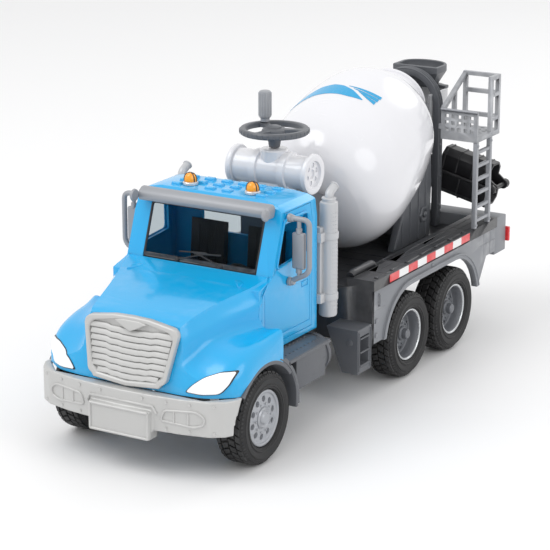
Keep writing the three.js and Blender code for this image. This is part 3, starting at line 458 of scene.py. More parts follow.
print("stage: finishes")
looks = {
    "blueShell": {
        "colour": (0.03, 0.66, 0.895), "roughness": 0.2, "coat": 0.5, "drift": 0.03,
        "wear": 0.06, "dust": 0.0, "scuffs": 0.025,
    },
    "silverShell": {
        "colour": (0.755, 0.755, 0.75), "roughness": 0.36, "metallic": 0.25, "drift": 0.06, "dust": 0.12,
    },
    "midGrey": {"colour": (0.60, 0.61, 0.63), "roughness": 0.36, "metallic": 0.15, "drift": 0.08},
    "lightGrey": {"colour": (0.76, 0.765, 0.775), "roughness": 0.34, "metallic": 0.2, "drift": 0.07},
    "darkGrey": {"colour": (0.36, 0.37, 0.39), "roughness": 0.36, "drift": 0.08, "wear": 0.08, "dust": 0.05},
    "deckGrey": {
        "colour": (0.17, 0.175, 0.19), "roughness": 0.3, "drift": 0.06, "wear": 0.05, "dust": 0.03, "coat": 0.2,
    },
    "skirtGrey": {"colour": (0.53, 0.54, 0.56), "roughness": 0.42, "drift": 0.1, "dust": 0.15},
    "nearBlack": {"colour": (0.14, 0.14, 0.15), "roughness": 0.34, "drift": 0.1, "wear": 0.15, "dust": 0.05},
    "drumWhite": {
        "colour": (0.90, 0.90, 0.915), "roughness": 0.16, "coat": 0.6, "drift": 0.03, "wear": 0.1, "dust": 0.04,
    },
    "stripeBlue": {"colour": (0.02, 0.62, 0.83), "roughness": 0.2, "coat": 0.4, "drift": 0.06, "dust": 0.03},
    "tyreRubber": {
        "colour": (0.125, 0.125, 0.13), "roughness": 0.55, "drift": 0.12, "wear": 0.12, "dust": 0.06,
        "grainDepth": 0.0001,
    },
    "frontRim": {"colour": (0.68, 0.69, 0.71), "roughness": 0.3, "metallic": 0.45, "drift": 0.08, "dust": 0.15},
    "rearRim": {"colour": (0.45, 0.46, 0.48), "roughness": 0.36, "metallic": 0.3, "drift": 0.1, "dust": 0.15},
    "rimEdge": {"colour": (0.82, 0.83, 0.84), "roughness": 0.24, "metallic": 0.5, "drift": 0.05},
    # painted glow: the headlamp and beacon lenses shine as if lit, though nothing in them is
    "lampWhite": {"colour": (0.97, 0.98, 0.99), "roughness": 0.12, "drift": 0.03, "paintedGlow": 0.08, "coat": 0.6},
    "amberLens": {"colour": (0.96, 0.62, 0.06), "roughness": 0.12, "drift": 0.12, "paintedGlow": 0.12, "coat": 0.6},
    "redLens": {"colour": (0.86, 0.14, 0.17), "roughness": 0.2, "drift": 0.1, "coat": 0.4},
    "whiteTape": {"colour": (0.93, 0.93, 0.93), "roughness": 0.3, "drift": 0.05},
    "redTape": {"colour": (0.88, 0.22, 0.24), "roughness": 0.3, "drift": 0.07},
    "steelPin": {"colour": (0.7, 0.7, 0.71), "roughness": 0.3, "metallic": 0.9, "drift": 0.08},
    # near-black used as painted shade, on the disc behind the front rims' holes
    "paintedShadeBlack": {"colour": (0.05, 0.05, 0.055), "roughness": 0.6, "drift": 0.2},
}
finish = {name: plastic(name, look) for name, look in looks.items()}
finish["clearSmoke"] = clearPlastic(
    "clearSmoke",
    {
        "colour": (0.7, 0.74, 0.76), "roughness": 0.03, "clear": 1.0, "drift": 0.04, "wear": 0,
        "dust": 0.02, "scuffs": 0.03,
    }
)

# nose
print("stage: nose")
hoodPlan = {"low": 58.2, "lean": 0.2, "arch": 40, "acrossSteps": 5, "alongSteps": 6, "faceSteps": 24}
# the face seen from above
nosePlan = [(0, -50.2), (40, -49.6), (52, -48.2), (60, -46.4), (66, -43), (71, -38.6)]

# half sections from nose to cowl: middle, crease, side, valley, fender crest, shoulder, flank, foot
noseSection = [(0, 104.4), (36, 102), (38.8, 90), (40.5, 77), (53, 69.6), (64.5, 68), (69.4, 64), (70, 58.2)]
hoodSections = [
    [(0, -36, 106.2), (37.6, -36, 104.4), (41.6, -36, 94), (44, -36, 82),
     (56, -36, 77.6), (69, -35.5, 75), (74.6, -35, 68), (75.6, -34.6, 58.2)],
    [(0, -24, 109.3), (40, -24, 107.7), (45, -24, 98), (48.5, -24, 88),
     (59, -24, 84.6), (72.6, -24, 81.6), (78.6, -24, 72), (79, -24, 58.2)],
    [(0, -8, 112.5), (43.8, -8, 111.2), (49.8, -8, 101), (53, -8, 91),
     (62, -8, 88), (74, -8, 86), (79, -8, 77), (79, -8, 58.2)],
    [(0, 8, 115.1), (48.6, 8, 113.8), (55.4, 8, 104), (57.6, 8, 93.4),
     (64, 8, 89), (75, 8, 88), (79, 8, 80), (79, 8, 58.2)],
    [(0, 20, 117), (53, 20, 115.9), (60.2, 20, 106), (60.6, 20, 95),
     (65, 20, 89.4), (76, 20, 90.4), (79, 20, 84), (79, 20, 58.2)],
    [(0, 22.4, 116.6), (53, 22.4, 115.4), (59.8, 22.4, 105.6), (60.2, 22, 95),
     (65, 20.4, 89.4), (76, 20.2, 90.4), (79, 20.2, 84), (79, 20.2, 58.2)],
]
# the skin goes on over the cowl, up to the foot of the windshield
cowlSections = [
    [(0, 19.8, 117), (53, 19.8, 115.9), (60.2, 19.8, 106), (60.6, 19.8, 99), (60.6, 19.8, 94)],
    [(0, 28, 118.4), (55.4, 28, 117.9), (60.4, 25, 110), (60.7, 22.4, 103), (60.7, 22.4, 94)],
    [(0, 37.4, 119.9), (57, 37.2, 120), (60.5, 30, 115.6), (60.7, 23.6, 108), (60.7, 22.6, 94)],
]


def curveThrough(points, steps, corners=()):
    # a smooth line through every point, with a corner kept where one is named
    points = [Vector(p) for p in points]
    path = []
    for i, (b, c) in enumerate(zip(points, points[1:])):
        a = points[i - 1] if i and i not in corners else b * 2 - c
        d = points[i + 2] if i + 2 < len(points) and i + 1 not in corners else c * 2 - b
        for k in range(steps):
            t = k / steps
            path.append(0.5 * (
                2 * b + (c - a) * t + (2 * a - 5 * b + 4 * c - d) * t * t + (3 * b - a - 3 * c + d) * t**3
            ))
    return path + [points[-1]]


def noseY(x, z):
    x = abs(x)
    for (x0, y0), (x1, y1) in zip(nosePlan, nosePlan[1:]):
        if x <= x1:
            break
    return y0 + (y1 - y0) * (x - x0) / (x1 - x0) + hoodPlan["lean"] * (z - hoodPlan["low"])


def skinGrid(sections):
    # half sections filled in to a fine grid of half sections
    fine = [curveThrough(half, hoodPlan["acrossSteps"], (1, len(half) - 1)) for half in sections]
    columns = [curveThrough([half[i] for half in fine], hoodPlan["alongSteps"]) for i in range(len(fine[0]))]
    return [[column[row] for column in columns] for row in range(len(columns[0]))]


def skinFrom(grid):
    # both halves of a grid, closed by flat ends and a flat bottom
    shape = newShape()
    rings = []
    for half in grid:
        rings.append([Vector((-p.x, p.y, p.z)) for p in half[:0:-1]] + list(half))
    loft(shape, rings)
    return shape


def makeNoseSolid():
    first = [(x, noseY(x, z), z) for x, z in noseSection]
    grid = skinGrid([first] + hoodSections)
    for p in grid[0]:
        p.y = noseY(p.x, p.z)
    shape = newShape()
    count = len(grid[0])
    left = [[shape.verts.new(p) for p in half] for half in grid]
    right = [
        [v if i == 0 else shape.verts.new((-v.co.x, v.co.y, v.co.z)) for i, v in enumerate(row)] for row in left
    ]
    for side in (left, right):
        for a, b in zip(side, side[1:]):
            for i in range(count - 1):
                shape.faces.new((a[i], a[i + 1], b[i + 1], b[i]))
    # the face: rows straight across between the two edges, following the plan
    steps = hoodPlan["faceSteps"]
    rows = [[left[0][0]] * (steps + 1)]
    for i in range(1, count):
        x, z = left[0][i].co.x, left[0][i].co.z
        between = [x - 2 * x * k / steps for k in range(1, steps)]
        rows.append([left[0][i]] + [shape.verts.new((u, noseY(u, z), z)) for u in between] + [right[0][i]])
    for a, b in zip(rows, rows[1:]):
        for k in range(steps):
            corners = list(dict.fromkeys((a[k], a[k + 1], b[k + 1], b[k])))
            if len(corners) > 2:
                shape.faces.new(corners)
    foot = rows[-1] + [row[-1] for row in right[1:]] + [row[-1] for row in left[:0:-1]]
    shape.faces.new(foot)
    shape.faces.new(left[-1] + right[-1][:0:-1])
    return shape


def makeHood():
    shape = makeNoseSolid()
    lamps = shape.copy()
    tools = newShape()
    for sign in (-1, 1):
        rod(tools, (sign * 46, 0, wheelRadius), (sign * 82, 0, wheelRadius), hoodPlan["arch"], 64)
    block(tools, -33, 33, -33, 21, 50, 99)
    for sign in (-1, 1):
        x0, x1 = sorted((sign * 33, sign * 44))
        block(tools, x0, x1, -26, 21, 50, 84)
    shape = softEdges(carve(shape, tools), 0.5, 2, 40)
    for sign in (-1, 1):
        # a raised spear beside the windshield's foot
        spear = newShape()
        outline = [(30, 33), (38, 33), (47, 24), (47, 16), (42, 21)]
        loft(spear, [
            [Vector((sign * x, y, 110)) for x, y in outline],
            [
                Vector((sign * (38 + (x - 38) * 0.9), 24 + (y - 24) * 0.9, 118.4 + (y - 33) * 0.09))
                for x, y in outline
            ],
        ])
        addTo(shape, softEdges(spear, 0.8, 3))
    finishPiece("hood_shell", shape, "truck", finish["blueShell"], "hood", 20)
    cowl = skinFrom(skinGrid(cowlSections))
    inside = newShape()
    block(inside, -56.4, 56.4, 18, 34, 90, 113)
    block(inside, -46, 46, 34, 40, 90, 117)
    finishPiece("cowl_skin", carve(cowl, inside), "truck", finish["blueShell"], (), 20)
    makeHeadlights(lamps)


def makeHeadlights(noseSolid):
    # the lens is the nose's own surface inside an outline, standing a little proud, in a dark surround
    outline = [
        (45.5, 61.4), (56, 60.8), (67.5, 61.6), (72.4, 68), (74.6, 75.6), (66, 75), (56.5, 71.4),
        (50, 66.4),
    ]
    for name, forward, grow, material, slot in (
        ("headlamp", 1.0, 1.0, "lampWhite", "lamp_white"),
        ("headlamp_surround", 0.45, 1.07, "nearBlack", "near_black"),
    ):
        for side, sign in (("left", 1), ("right", -1)):
            nose = noseSolid.copy()
            for v in nose.verts:
                v.co += Vector((sign * 0.6 * forward, -forward, 0.3 * forward))
            centre = Vector((62, 69))
            ring = [centre + (Vector(p) - centre) * grow for p in outline]
            loop = rounded(
                [Vector(((ring[-1] + ring[0]) / 2).to_3d())] + [p.to_3d() for p in ring]
                + [((ring[-1] + ring[0]) / 2).to_3d()],
                2, 4,
            )
            prismTool = newShape()
            prism(prismTool, [(sign * p.x, p.y) for p in loop[:-1]], "y", -60, -20)
            item, cutter = tempObject(nose), tempObject(prismTool)
            both = item.modifiers.new("both", "BOOLEAN")
            both.operation, both.solver, both.object = "INTERSECT", "EXACT", cutter
            lens = applied(item)
            bpy.data.objects.remove(cutter)
            lens = softEdges(lens, 0.3, 2, 50)
            replaced = f"headlight_{side}" if name == "headlamp" else ()
            finishPiece(f"{name}_{side}", lens, "truck", finish[material], replaced, 40)
    noseSolid.free()


grillePlan = {"bars": 8, "topHalf": 37.5, "bottomHalf": 30.8, "low": 58.8, "high": 105, "lean": 0.2}


def leanBack(shape):
    face = -50
    for v in shape.verts:
        v.co.y += face + grillePlan["lean"] * (v.co.z - 58)
    return shape


def grilleOutline(inset):
    low, high = grillePlan["low"] + inset, grillePlan["high"] - inset
    half = lambda z: (
        grillePlan["bottomHalf"]
        + (grillePlan["topHalf"] - grillePlan["bottomHalf"]) * (z - grillePlan["low"]) / 40 - inset
    )
    bend = 6
    right = [(0, low)]
    right += [(half(low + 4) - bend + 1, low + 2.2)]
    right += arc(half(low + 8) - bend, low + 4 + bend, bend, -70, 0, 4)
    right += arc(half(high - 6) - bend, high - 3 - bend, bend, 0, 75, 5)
    right += [(14, high - 0.4), (0, high)]
    return right + [(-x, z) for x, z in right[-2:0:-1]]


def makeGrille():
    rings = []
    for inset, depth in ((0, 0), (0, -4), (0.6, -4.6), (2.6, -4.6), (3.4, -3.6), (3.6, -1.4)):
        rings.append([Vector((x, depth, z)) for x, z in grilleOutline(inset)])
    shape = newShape()
    loft(shape, rings)
    low, high = grillePlan["low"] + 5.6, grillePlan["high"] - 7
    pitch = (high - low) / grillePlan["bars"]
    for i in range(grillePlan["bars"]):
        z = low + pitch * (i + 0.45)
        reach = grillePlan["bottomHalf"] + 6.2 * (z - 58.8) / 40 - 3.4
        if i == 0:
            reach -= 4
        line = [(-reach, 0), (-reach * 0.62, 0), (-reach * 0.5, -1), (-reach * 0.3, -1), (-reach * 0.2, -1.5)]
        line += [(-x, h) for x, h in line[::-1]]
        rings = []
        for x, drop in line:
            z0 = z + drop
            section = ((-1.2, z0 - 2.1), (-3.1, z0 - 2.1), (-3.7, z0 - 1.5), (-2.6, z0 + 1.5), (-1.2, z0 + 1.7))
            rings.append([Vector((x, y, h)) for y, h in section])
        loft(shape, rings)
    pad = newShape()
    outline = [
        (-13, 101.5), (-9, 99.6), (-4, 97), (0, 95.6), (4, 97), (9, 99.6), (13, 101.5), (6, 102.8),
        (-6, 102.8),
    ]
    prism(pad, outline, "y", -5.5, -3.6)
    addTo(shape, softEdges(pad, 0.5, 2))
    finishPiece(
        "grille_frame", leanBack(softEdges(shape, 0.3, 2, 24)), "truck",
        finish["silverShell"], "grille",
    )


bumperPlan = {"plateHalf": 24.6}


def bumperFaceY(x):
    # how far forward the bumper's face lies at a distance from the middle
    bow = [(0, -60), (24, -59), (46, -56.5), (65, -52), (74, -46), (79, -37)]
    x = abs(x)
    for (x0, y0), (x1, y1) in zip(bow, bow[1:]):
        if x <= x1:
            return y0 + (y1 - y0) * (x - x0) / (x1 - x0)
    return bow[-1][1]


def makeBumper():
    base = moulded(cadCopy("front_bumper"), voxel=0.8, rounds=3, keep=0.6)
    # the raised rims, bolts and frames are laid on afterwards, so that they stay crisp
    rims = newShape()
    for sign in (-1, 1):
        loop = [(31, 41.5), (34, 49), (57, 50.4), (62.5, 46.5), (61.5, 41.5), (55, 39.4)]
        path = [Vector((sign * x, bumperFaceY(x) - 0.3, z)) for x, z in loop]
        middle = (path[-1] + path[0]) / 2
        tube(rims, rounded([middle] + path + [middle], 2.4, 4), 0.95, 8)
        for x in (41, 51):
            tube(rims, [Vector((sign * x, bumperFaceY(x) - 0.15, z)) for z in (40.6, 49.4)], 0.7, 8)
        for x in (17, 35, 52, 68):
            y = bumperFaceY(x)
            rod(rims, (sign * x, y + 1, 54.8), (sign * x, y - 0.8, 54.8), 1.1, 12)
            rod(rims, (sign * x, y + 1, 36), (sign * x, y - 0.8, 36), 1.1, 12)
    half, y = bumperPlan["plateHalf"], -62.5
    frameLoop = [(-half + 1.2, 27.6), (half - 1.2, 27.6), (half - 1.2, 45.8), (-half + 1.2, 45.8)]
    for (x0, z0), (x1, z1) in zip(frameLoop, frameLoop[1:] + frameLoop[:1]):
        rod(rims, (x0, y - 0.1, z0), (x1, y - 0.1, z1), 1, 10)
    outer = [(-28, 45.5), (-25.5, 50.2), (25.5, 50.2), (28, 45.5)]
    tube(rims, [(x, bumperFaceY(x) - 0.3, z) for x, z in outer], 1.1, 8)
    addTo(base, rims)
    finishPiece("bumper_shell", base, "truck", finish["silverShell"], "front_bumper", 50)


makeHood()
makeGrille()
makeBumper()

# cab
print("stage: cab")
cabPlan = {"studRows": 3, "studColumns": 6}


def makeCabShell():
    shape = cadCopy("cab_shell")
    tools = newShape()
    for sign in (-1, 1):
        x0, x1 = sorted((sign * 59.3, sign * 61))
        block(tools, x0, x1, 21, 101, 165.2, 165.8)
    shape = softEdges(carve(shape, tools), 1.2, 3, 22)
    for row in range(cabPlan["studRows"]):
        for column in range(cabPlan["studColumns"]):
            x = -35 + 14 * column
            y = 66 + 11 * row
            if row == 0 and abs(abs(x) - 25.8) < 8:
                continue
            stud = newShape()
            outline = [(x - 4.2, y - 3), (x + 4.2, y - 3), (x + 4.2, y + 3), (x - 4.2, y + 3)]
            loft(stud, [[Vector((a, b, 167)) for a, b in outline],
                        [Vector((x + (a - x) * 0.8, y + (b - y) * 0.75, 169.7)) for a, b in outline]])
            addTo(shape, softEdges(stud, 0.6, 3))
    for sign in (-1, 1):
        tube(shape, [(sign * 46, 99.6, 124), (sign * 46, 99.6, 158)], 1, 8)
    finishPiece("cab_body", shape, "truck", finish["blueShell"], "cab_shell", 28)


def makeDoor(side):
    # seam lines inside the skin, a pocket for the handle and a slot high at the rear
    shape = facing(side, cadCopy("door_" + side))
    tools = newShape()
    pocket = ((78, 87, 106.5, 107.1), (78, 78.6, 103, 107), (78, 87, 102.6, 103.2), (86.4, 87, 103, 107))
    seams = ((28, 90, 76, 76.5), (89.6, 90.1, 76, 157), (28, 28.5, 76, 110))
    for groove in pocket + seams:
        block(tools, 59.5, 61, *groove)
    block(tools, 59.3, 61, 74, 88, 158.2, 160)
    shape = softEdges(carve(shape, tools), 0.35, 2, 25)
    frameLoop = [(44, 124), (55, 157), (87, 156), (88, 127)]
    corners = [Vector((60.05, y, z)) for y, z in frameLoop]
    middle = (corners[-1] + corners[0]) / 2
    tube(shape, rounded([middle] + corners + [middle], 4, 4), 0.85, 8)
    finishPiece(
        f"door_{side}_skin", facing(side, shape), "door_" + side, finish["blueShell"],
        "door_" + side, 28,
    )


def makeVisor():
    shape = softEdges(cadCopy("sun_visor"), 1.4, 4, 25)
    for sign in (-1, 1):
        turned(
            shape, [(0, -1), (4.2, -1), (4.6, 0.4), (3.6, 1.6), (0, 2.2)], (sign * 54, 39.6, 163),
            (sign, 0, 0), 20,
        )
    finishPiece("visor_shell", shape, "truck", finish["midGrey"], "sun_visor", 30)


def makeMirror(side):
    shape = newShape()
    root, y, low, high = 60.5, 60, 112, 157.6
    loop = [(root + 1, y, high), (76.7, y, high), (76.7, y, low + 8), (root + 1, y, low)]
    tube(shape, rounded(loop, 5, 8), 1.9, 14)
    x = root + 8
    rod(shape, (x, y, low + 3.4), (x, y, high - 0.4), 1.5, 14)
    for z in (low, high):
        turned(
            shape, [(0, 0), (3, 0), (3, 1.8), (2.3, 2.6), (2.6, 3.2), (1.9, 4.6), (0, 4.8)],
            (root - 0.1, y, z), (1, 0, 0), 20,
        )
    plate = newShape()
    block(plate, x - 5, x + 5, y - 1.8, y + 2.2, 122, 148)
    addTo(shape, softEdges(plate, 1.4, 4))
    for z in (120.8, 149.2):
        turned(shape, [(0, -1.6), (2.2, -1.6), (2.2, 1.6), (0, 1.6)], (x, y, z), (0, 0, 1), 16)
    finishPiece(
        f"mirror_{side}_frame", facing(side, shape), "door_" + side, finish["midGrey"],
        "mirror_" + side,
    )
    glass = newShape()
    block(glass, x - 4, x + 4, y + 2.1, y + 2.5, 123.4, 146.6)
    finishPiece(
        f"mirror_{side}_face", softEdges(facing(side, glass), 0.12, 1), "door_" + side,
        finish["rimEdge"],
    )


def makeBeacon(side):
    x = 25.8 * signs[side]
    z = 168.3
    base = newShape()
    turned(base, [(0, 0), (5.6, 0), (5.6, 1.4), (5.1, 2.1), (4.7, 2.2), (0, 2.2)], (x, 69, z), up, 32)
    finishPiece(f"beacon_{side}_base", base, "truck", finish["rimEdge"], "beacon_" + side)
    dome = newShape()
    turned(dome, [(0, 2.2), (4.6, 2.2), (4.5, 4.4), (3.9, 6.4), (2.6, 7.8), (0, 8.5)], (x, 69, z), up, 10)
    finishPiece(
        f"beacon_{side}_lens", softEdges(dome, 0.35, 2, 12), "truck", finish["amberLens"], (),
        20,
    )
    band = newShape()
    for turn in (20, 160, 200, 340):
        t = math.radians(turn)
        outward = Vector((math.cos(t), math.sin(t), 0))
        path = [
            Vector((x, 69, z)) + outward * r + up * h
            for r, h in ((4.62, 2.3), (4.5, 4.4), (3.9, 6.4), (2.6, 7.8), (0.4, 8.5))
        ]
        tube(band, path, 0.42, 8)
    finishPiece(f"beacon_{side}_ribs", band, "truck", finish["nearBlack"])


def makeScreen():
    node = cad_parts["windshield"]
    node.data.materials.clear()
    node.data.materials.append(finish["clearSmoke"])
    trim = newShape()
    face = lambda z: 38.2 + 0.35 * (z - 119.2) + 0.4
    half = 46.2
    corners = [
        Vector((x, face(z), z))
        for x, z in ((-half, 120.4), (half, 120.4), (half, 156.8), (-half, 156.8))
    ]
    middle = (corners[0] + corners[1]) / 2
    tube(trim, rounded([middle] + corners[1:] + [corners[0], middle], 3, 4), 0.8, 8)
    block(trim, -half, half, face(120.6) - 0.5, face(120.6) + 1.8, 119.6, 123)
    finishPiece("windshield_rubber", trim, "truck", finish["nearBlack"])
    for sign in (-1, 1):
        wiper = newShape()
        pivot = Vector((sign * 18, face(121) - 0.9, 121.5))
        tip = Vector((sign * -6, face(128) - 0.9, 128.4))
        tube(wiper, [pivot, (pivot + tip) / 2, tip], 0.5, 8)
        tube(wiper, [tip + Vector((-11, -0.1, -1.4)), tip + Vector((11, -0.1, 0.4))], 0.6, 8)
        turned(wiper, [(0, -1), (1.7, -1), (1.7, 0.6), (1, 1.2), (0, 1.2)], pivot, (0, -1, 0.3), 16)
        finishPiece(
            "wiper_" + ("left" if sign > 0 else "right"), wiper, "truck",
            finish["nearBlack"],
        )


def makeInside():
    dash = softEdges(cadCopy("dashboard"), 1.4, 3)
    for x in (18, 30):
        turned(dash, [(0, 0), (3.6, 0), (3.6, 0.9), (3, 1.2), (0, 0.6)], (x, 53.3, 104.5), (0, 1, 0.15), 20)
    for x in (-34, -8):
        vent = newShape()
        block(vent, x - 6, x + 6, 52.4, 54.6, 102, 107)
        addTo(dash, softEdges(vent, 0.5, 2))
    finishPiece("dash_panel", dash, "truck", finish["deckGrey"], "dashboard")
    seats = softEdges(cadCopy("seats"), 2, 4)
    for x in (-24, 24):
        for dx in (-7, 0, 7):
            tube(seats, [(x + dx, 63, 88.2), (x + dx, 86, 88.2)], 0.9, 8)
            tube(seats, [(x + dx, 84.6, 92), (x + dx, 89, 134)], 0.9, 8)
    finishPiece("cab_seats", seats, "truck", finish["nearBlack"], "seats")
    wheel = newShape()
    axis, side, other = frameFor((0, 0.75, 0.66))
    centre = Vector((24, 60, 112))
    outward = lambda t: side * math.cos(math.radians(t)) + other * math.sin(math.radians(t))
    tube(wheel, [centre + outward(t) * 10.4 for t in range(0, 361, 10)], 1.15, 10)
    for t in (90, 210, 330):
        tube(wheel, [centre, centre + outward(t) * 10], 0.9, 8)
    turned(
        wheel, [(0, -9.8), (2.2, -9.8), (2.2, -2), (3.4, -0.8), (3.4, 0.8), (2.6, 1.4), (0, 1.5)],
        centre, axis, 24,
    )
    finishPiece("steering_ring", wheel, "truck", finish["nearBlack"], "steering_wheel")


makeCabShell()
makeVisor()
makeScreen()
makeInside()
for side in signs:
    makeDoor(side)
    makeMirror(side)
    makeBeacon(side)

# wheels
print("stage: wheels")
tyrePlan = {"radius": wheelRadius, "half": 12, "rim": 20.3, "blocks": 34, "grooveDepth": 1.6}
axlePlaces = {"front": 0, "middle": 212, "rear": 287}


def wheelToTruck(shape, row, side):
    # a wheel is drawn with its outer face towards +x and its centre at zero
    shape = facing(side, shape)
    for v in shape.verts:
        v.co += Vector((wheelX * signs[side], axlePlaces[row], wheelRadius))
    return shape


def makeTyre(row, side):
    r, half, rimR = tyrePlan["radius"], tyrePlan["half"], tyrePlan["rim"]
    base = r - tyrePlan["grooveDepth"]
    shape = newShape()
    outerWall = [
        (rimR, half - 2.6), (rimR + 0.9, half - 1), (rimR + 1.8, half - 0.9), (rimR + 2.2, half - 0.3),
        (rimR + 3, half - 0.3),
        (rimR + 3.4, half - 0.8), (rimR + 6, half), (rimR + 7.6, half), (rimR + 7.9, half - 0.5),
        (rimR + 8.4, half - 0.5),
        (rimR + 8.8, half - 0.2), (base - 1, half - 1.8), (base, half - 3.2),
    ]
    profile = outerWall + [(a, -h) for a, h in outerWall[::-1]]
    turned(shape, profile, (0, 0, 0), across, 72, True)
    count = tyrePlan["blocks"]
    rows = [(-8.9, -5.9, 0.5), (-5, -0.5, 0), (0.5, 5, 0.5), (5.9, 8.9, 0)]
    for x0, x1, phase in rows:
        shoulder = abs(x0 + x1) > 12
        for i in range(count):
            middle = (i + phase) / count * 2 * math.pi
            wide = math.pi / count * (0.8 if shoulder else 0.74)
            slant = 0.35 * wide * (1 if x0 > 0 else -1)
            ring = []
            for radius, shrink in ((base - 0.6, 1.0), (r - 0.25, 1.0), (r, 0.86)):
                corners = []
                for a, b in ((x0, -1), (x1, -1), (x1, 1), (x0, 1)):
                    centre = (x0 + x1) / 2
                    xx = centre + (a - centre) * (1 if radius < r else 0.9)
                    t = middle + b * wide * shrink + slant * (1 if a == x1 else -1)
                    lift = radius - (0.5 if shoulder and abs(a) > 8 and radius > base else 0)
                    corners.append(Vector((xx, lift * math.cos(t), lift * math.sin(t))))
                ring.append(corners)
            loft(shape, ring)
    for i in range(count * 2):
        t = i / (count * 2) * 2 * math.pi
        for sign in (-1, 1):
            ring = []
            for radius, x in ((base - 0.4, 9.6), (base - 2.6, 11.3)):
                corners = []
                for dt, dx in ((-0.028, -0.3), (0.028, -0.3), (0.022, 0.4), (-0.022, 0.4)):
                    corners.append(Vector((
                        sign * (x + dx), radius * math.cos(t + dt), radius * math.sin(t + dt),
                    )))
                ring.append(corners)
            loft(shape, ring)
    finishPiece(f"tyre_{row}_{side}_tread", wheelToTruck(shape, row, side), f"wheel_{row}_{side}",
                finish["tyreRubber"], f"tyre_{row}_{side}", 30)


def ringOfBolts(shape, count, radius, x, size, height, turn=0.0):
    for i in range(count):
        t = 2 * math.pi * i / count + turn
        place = (x, radius * math.cos(t), radius * math.sin(t))
        turned(
            shape, [(0, -1), (size, -1), (size, height * 0.7), (size * 0.7, height), (0, height)],
            place, across, 10,
        )


def makeFrontRim(side):
    rim = newShape()
    profile = [
        (6, -9.4), (18, -9.4), (20, -9.4), (20, 8.6), (19.6, 9.6), (18.6, 9.8), (17.8, 9.4), (17.4, 8.2),
        (16.2, 7.9), (8.4, 8.7), (7.9, 8.2), (6, 8.2),
    ]
    turned(rim, profile, (0, 0, 0), across, 64, True)
    tools = newShape()
    for i in range(10):
        t = 2 * math.pi * i / 10 + 0.2
        y, z = 13.4 * math.cos(t), 13.4 * math.sin(t)
        rod(tools, (-6, y, z), (12, y, z), 1.9, 16, 2.3)
    rim = softEdges(carve(rim, tools), 0.25, 2, 30)
    ringOfBolts(rim, 10, 9.9, 8.2, 0.8, 1.3)
    hub = [
        (0, 6), (7, 6), (7.2, 8.9), (6.2, 9.7), (5.2, 9.2), (4.6, 9.2), (4.2, 10.2), (3.4, 10.8),
        (0, 10.9),
    ]
    turned(rim, hub, (0, 0, 0), across, 32)
    finishPiece(f"rim_front_{side}_face", wheelToTruck(rim, "front", side), f"wheel_front_{side}",
                finish["frontRim"], f"rim_front_{side}", 35)
    # a near-black disc behind the rim's holes: painted shade inside the wheel, not a part
    backing = newShape()
    turned(backing, [(0, 3.6), (17.2, 3.6), (17.2, 4.4), (0, 4.4)], (0, 0, 0), across, 32)
    finishPiece(
        f"rim_front_{side}_shade", wheelToTruck(backing, "front", side), f"wheel_front_{side}",
        finish["paintedShadeBlack"],
    )


def makeRearRim(row, side):
    rim = newShape()
    profile = [
        (5, -9.4), (18, -9.4), (20, -9.4), (20, 8.4), (18.4, 8.4), (17.2, 4), (16.8, 1.2), (15.6, 0.6),
        (11.4, 0.9), (10.4, 3),
        (9.4, 3.4), (5, 3.4),
    ]
    turned(rim, profile, (0, 0, 0), across, 56, True)
    tools = newShape()
    for i in range(8):
        t = 2 * math.pi * i / 8 + 0.3
        y, z = 13.6 * math.cos(t), 13.6 * math.sin(t)
        rod(tools, (-4, y, z), (6, y, z), 1.7, 14)
    rim = softEdges(carve(rim, tools), 0.25, 2, 30)
    ringOfBolts(rim, 8, 8.2, 3.3, 0.75, 1.2)
    turned(
        rim, [(0, 2), (5.6, 2), (5.6, 4.4), (5, 5.2), (4.2, 5.4), (3.8, 8.6), (3.2, 9.2), (0, 9.4)],
        (0, 0, 0), across, 28,
    )
    finishPiece(f"rim_{row}_{side}_dish", wheelToTruck(rim, row, side), f"wheel_{row}_{side}",
                finish["rearRim"], f"rim_{row}_{side}", 35)
    edge = newShape()
    turned(
        edge, [(18.3, 8.2), (20, 8.2), (20, 9.2), (19.6, 9.8), (18.8, 9.8), (18.2, 9.2)], (0, 0, 0),
        across, 56, True,
    )
    finishPiece(
        f"rim_{row}_{side}_edge", wheelToTruck(edge, row, side), f"wheel_{row}_{side}",
        finish["rimEdge"],
    )


for side in signs:
    for row in axlePlaces:
        makeTyre(row, side)
    makeFrontRim(side)
    makeRearRim("middle", side)
    makeRearRim("rear", side)

# frame, steps, tanks and boxes
print("stage: frame and sides")


def dress(name, node, material, width=0.4, segments=2, body="truck", extra=None, tools=None, angle=28):
    # a CAD node with its edges rounded, things cut from it and things added to it
    shape = cadCopy(node)
    if tools:
        shape = carve(shape, tools)
    shape = softEdges(shape, width, segments, angle)
    if extra:
        addTo(shape, extra)
    return finishPiece(name, shape, body, finish[material], node)


def dressPair(stem, draw, material, width=0.4, segments=2, angle=28):
    # draw() gives what is added to the left side and what is cut from it
    for side in signs:
        shape = facing(side, cadCopy(f"{stem}_{side}"))
        extra, tools = draw()
        if tools:
            shape = carve(shape, tools)
        shape = softEdges(shape, width, segments, angle)
        if extra:
            addTo(shape, extra)
        finishPiece(
            f"{stem}_{side}_skin", facing(side, shape), "truck", finish[material], f"{stem}_{side}",
        )


def frameExtras():
    shape = newShape()
    for sign in (-1, 1):
        for y in range(-36, 360, 22):
            turned(
                shape, [(0, -0.4), (1.3, -0.4), (1.3, 0.5), (0.9, 0.9), (0, 1)], (sign * 28, y, 50),
                (sign, 0, 0), 8,
            )
    rod(shape, (0, 20, 50), (0, 150, 50), 3.2, 16)
    rod(shape, (0, 176, 50), (0, 204, 50), 3.2, 16)
    for row in ("middle", "rear"):
        y, z = axlePlaces[row], wheelRadius
        turned(shape, [(0, -7), (6, -7), (9, -3), (9.4, 0), (9, 3), (6, 7), (0, 7)], (0, y, z), (0, 1, 0), 24)
        rod(shape, (-19, y, z), (19, y, z), 4.6, 18)
    return shape


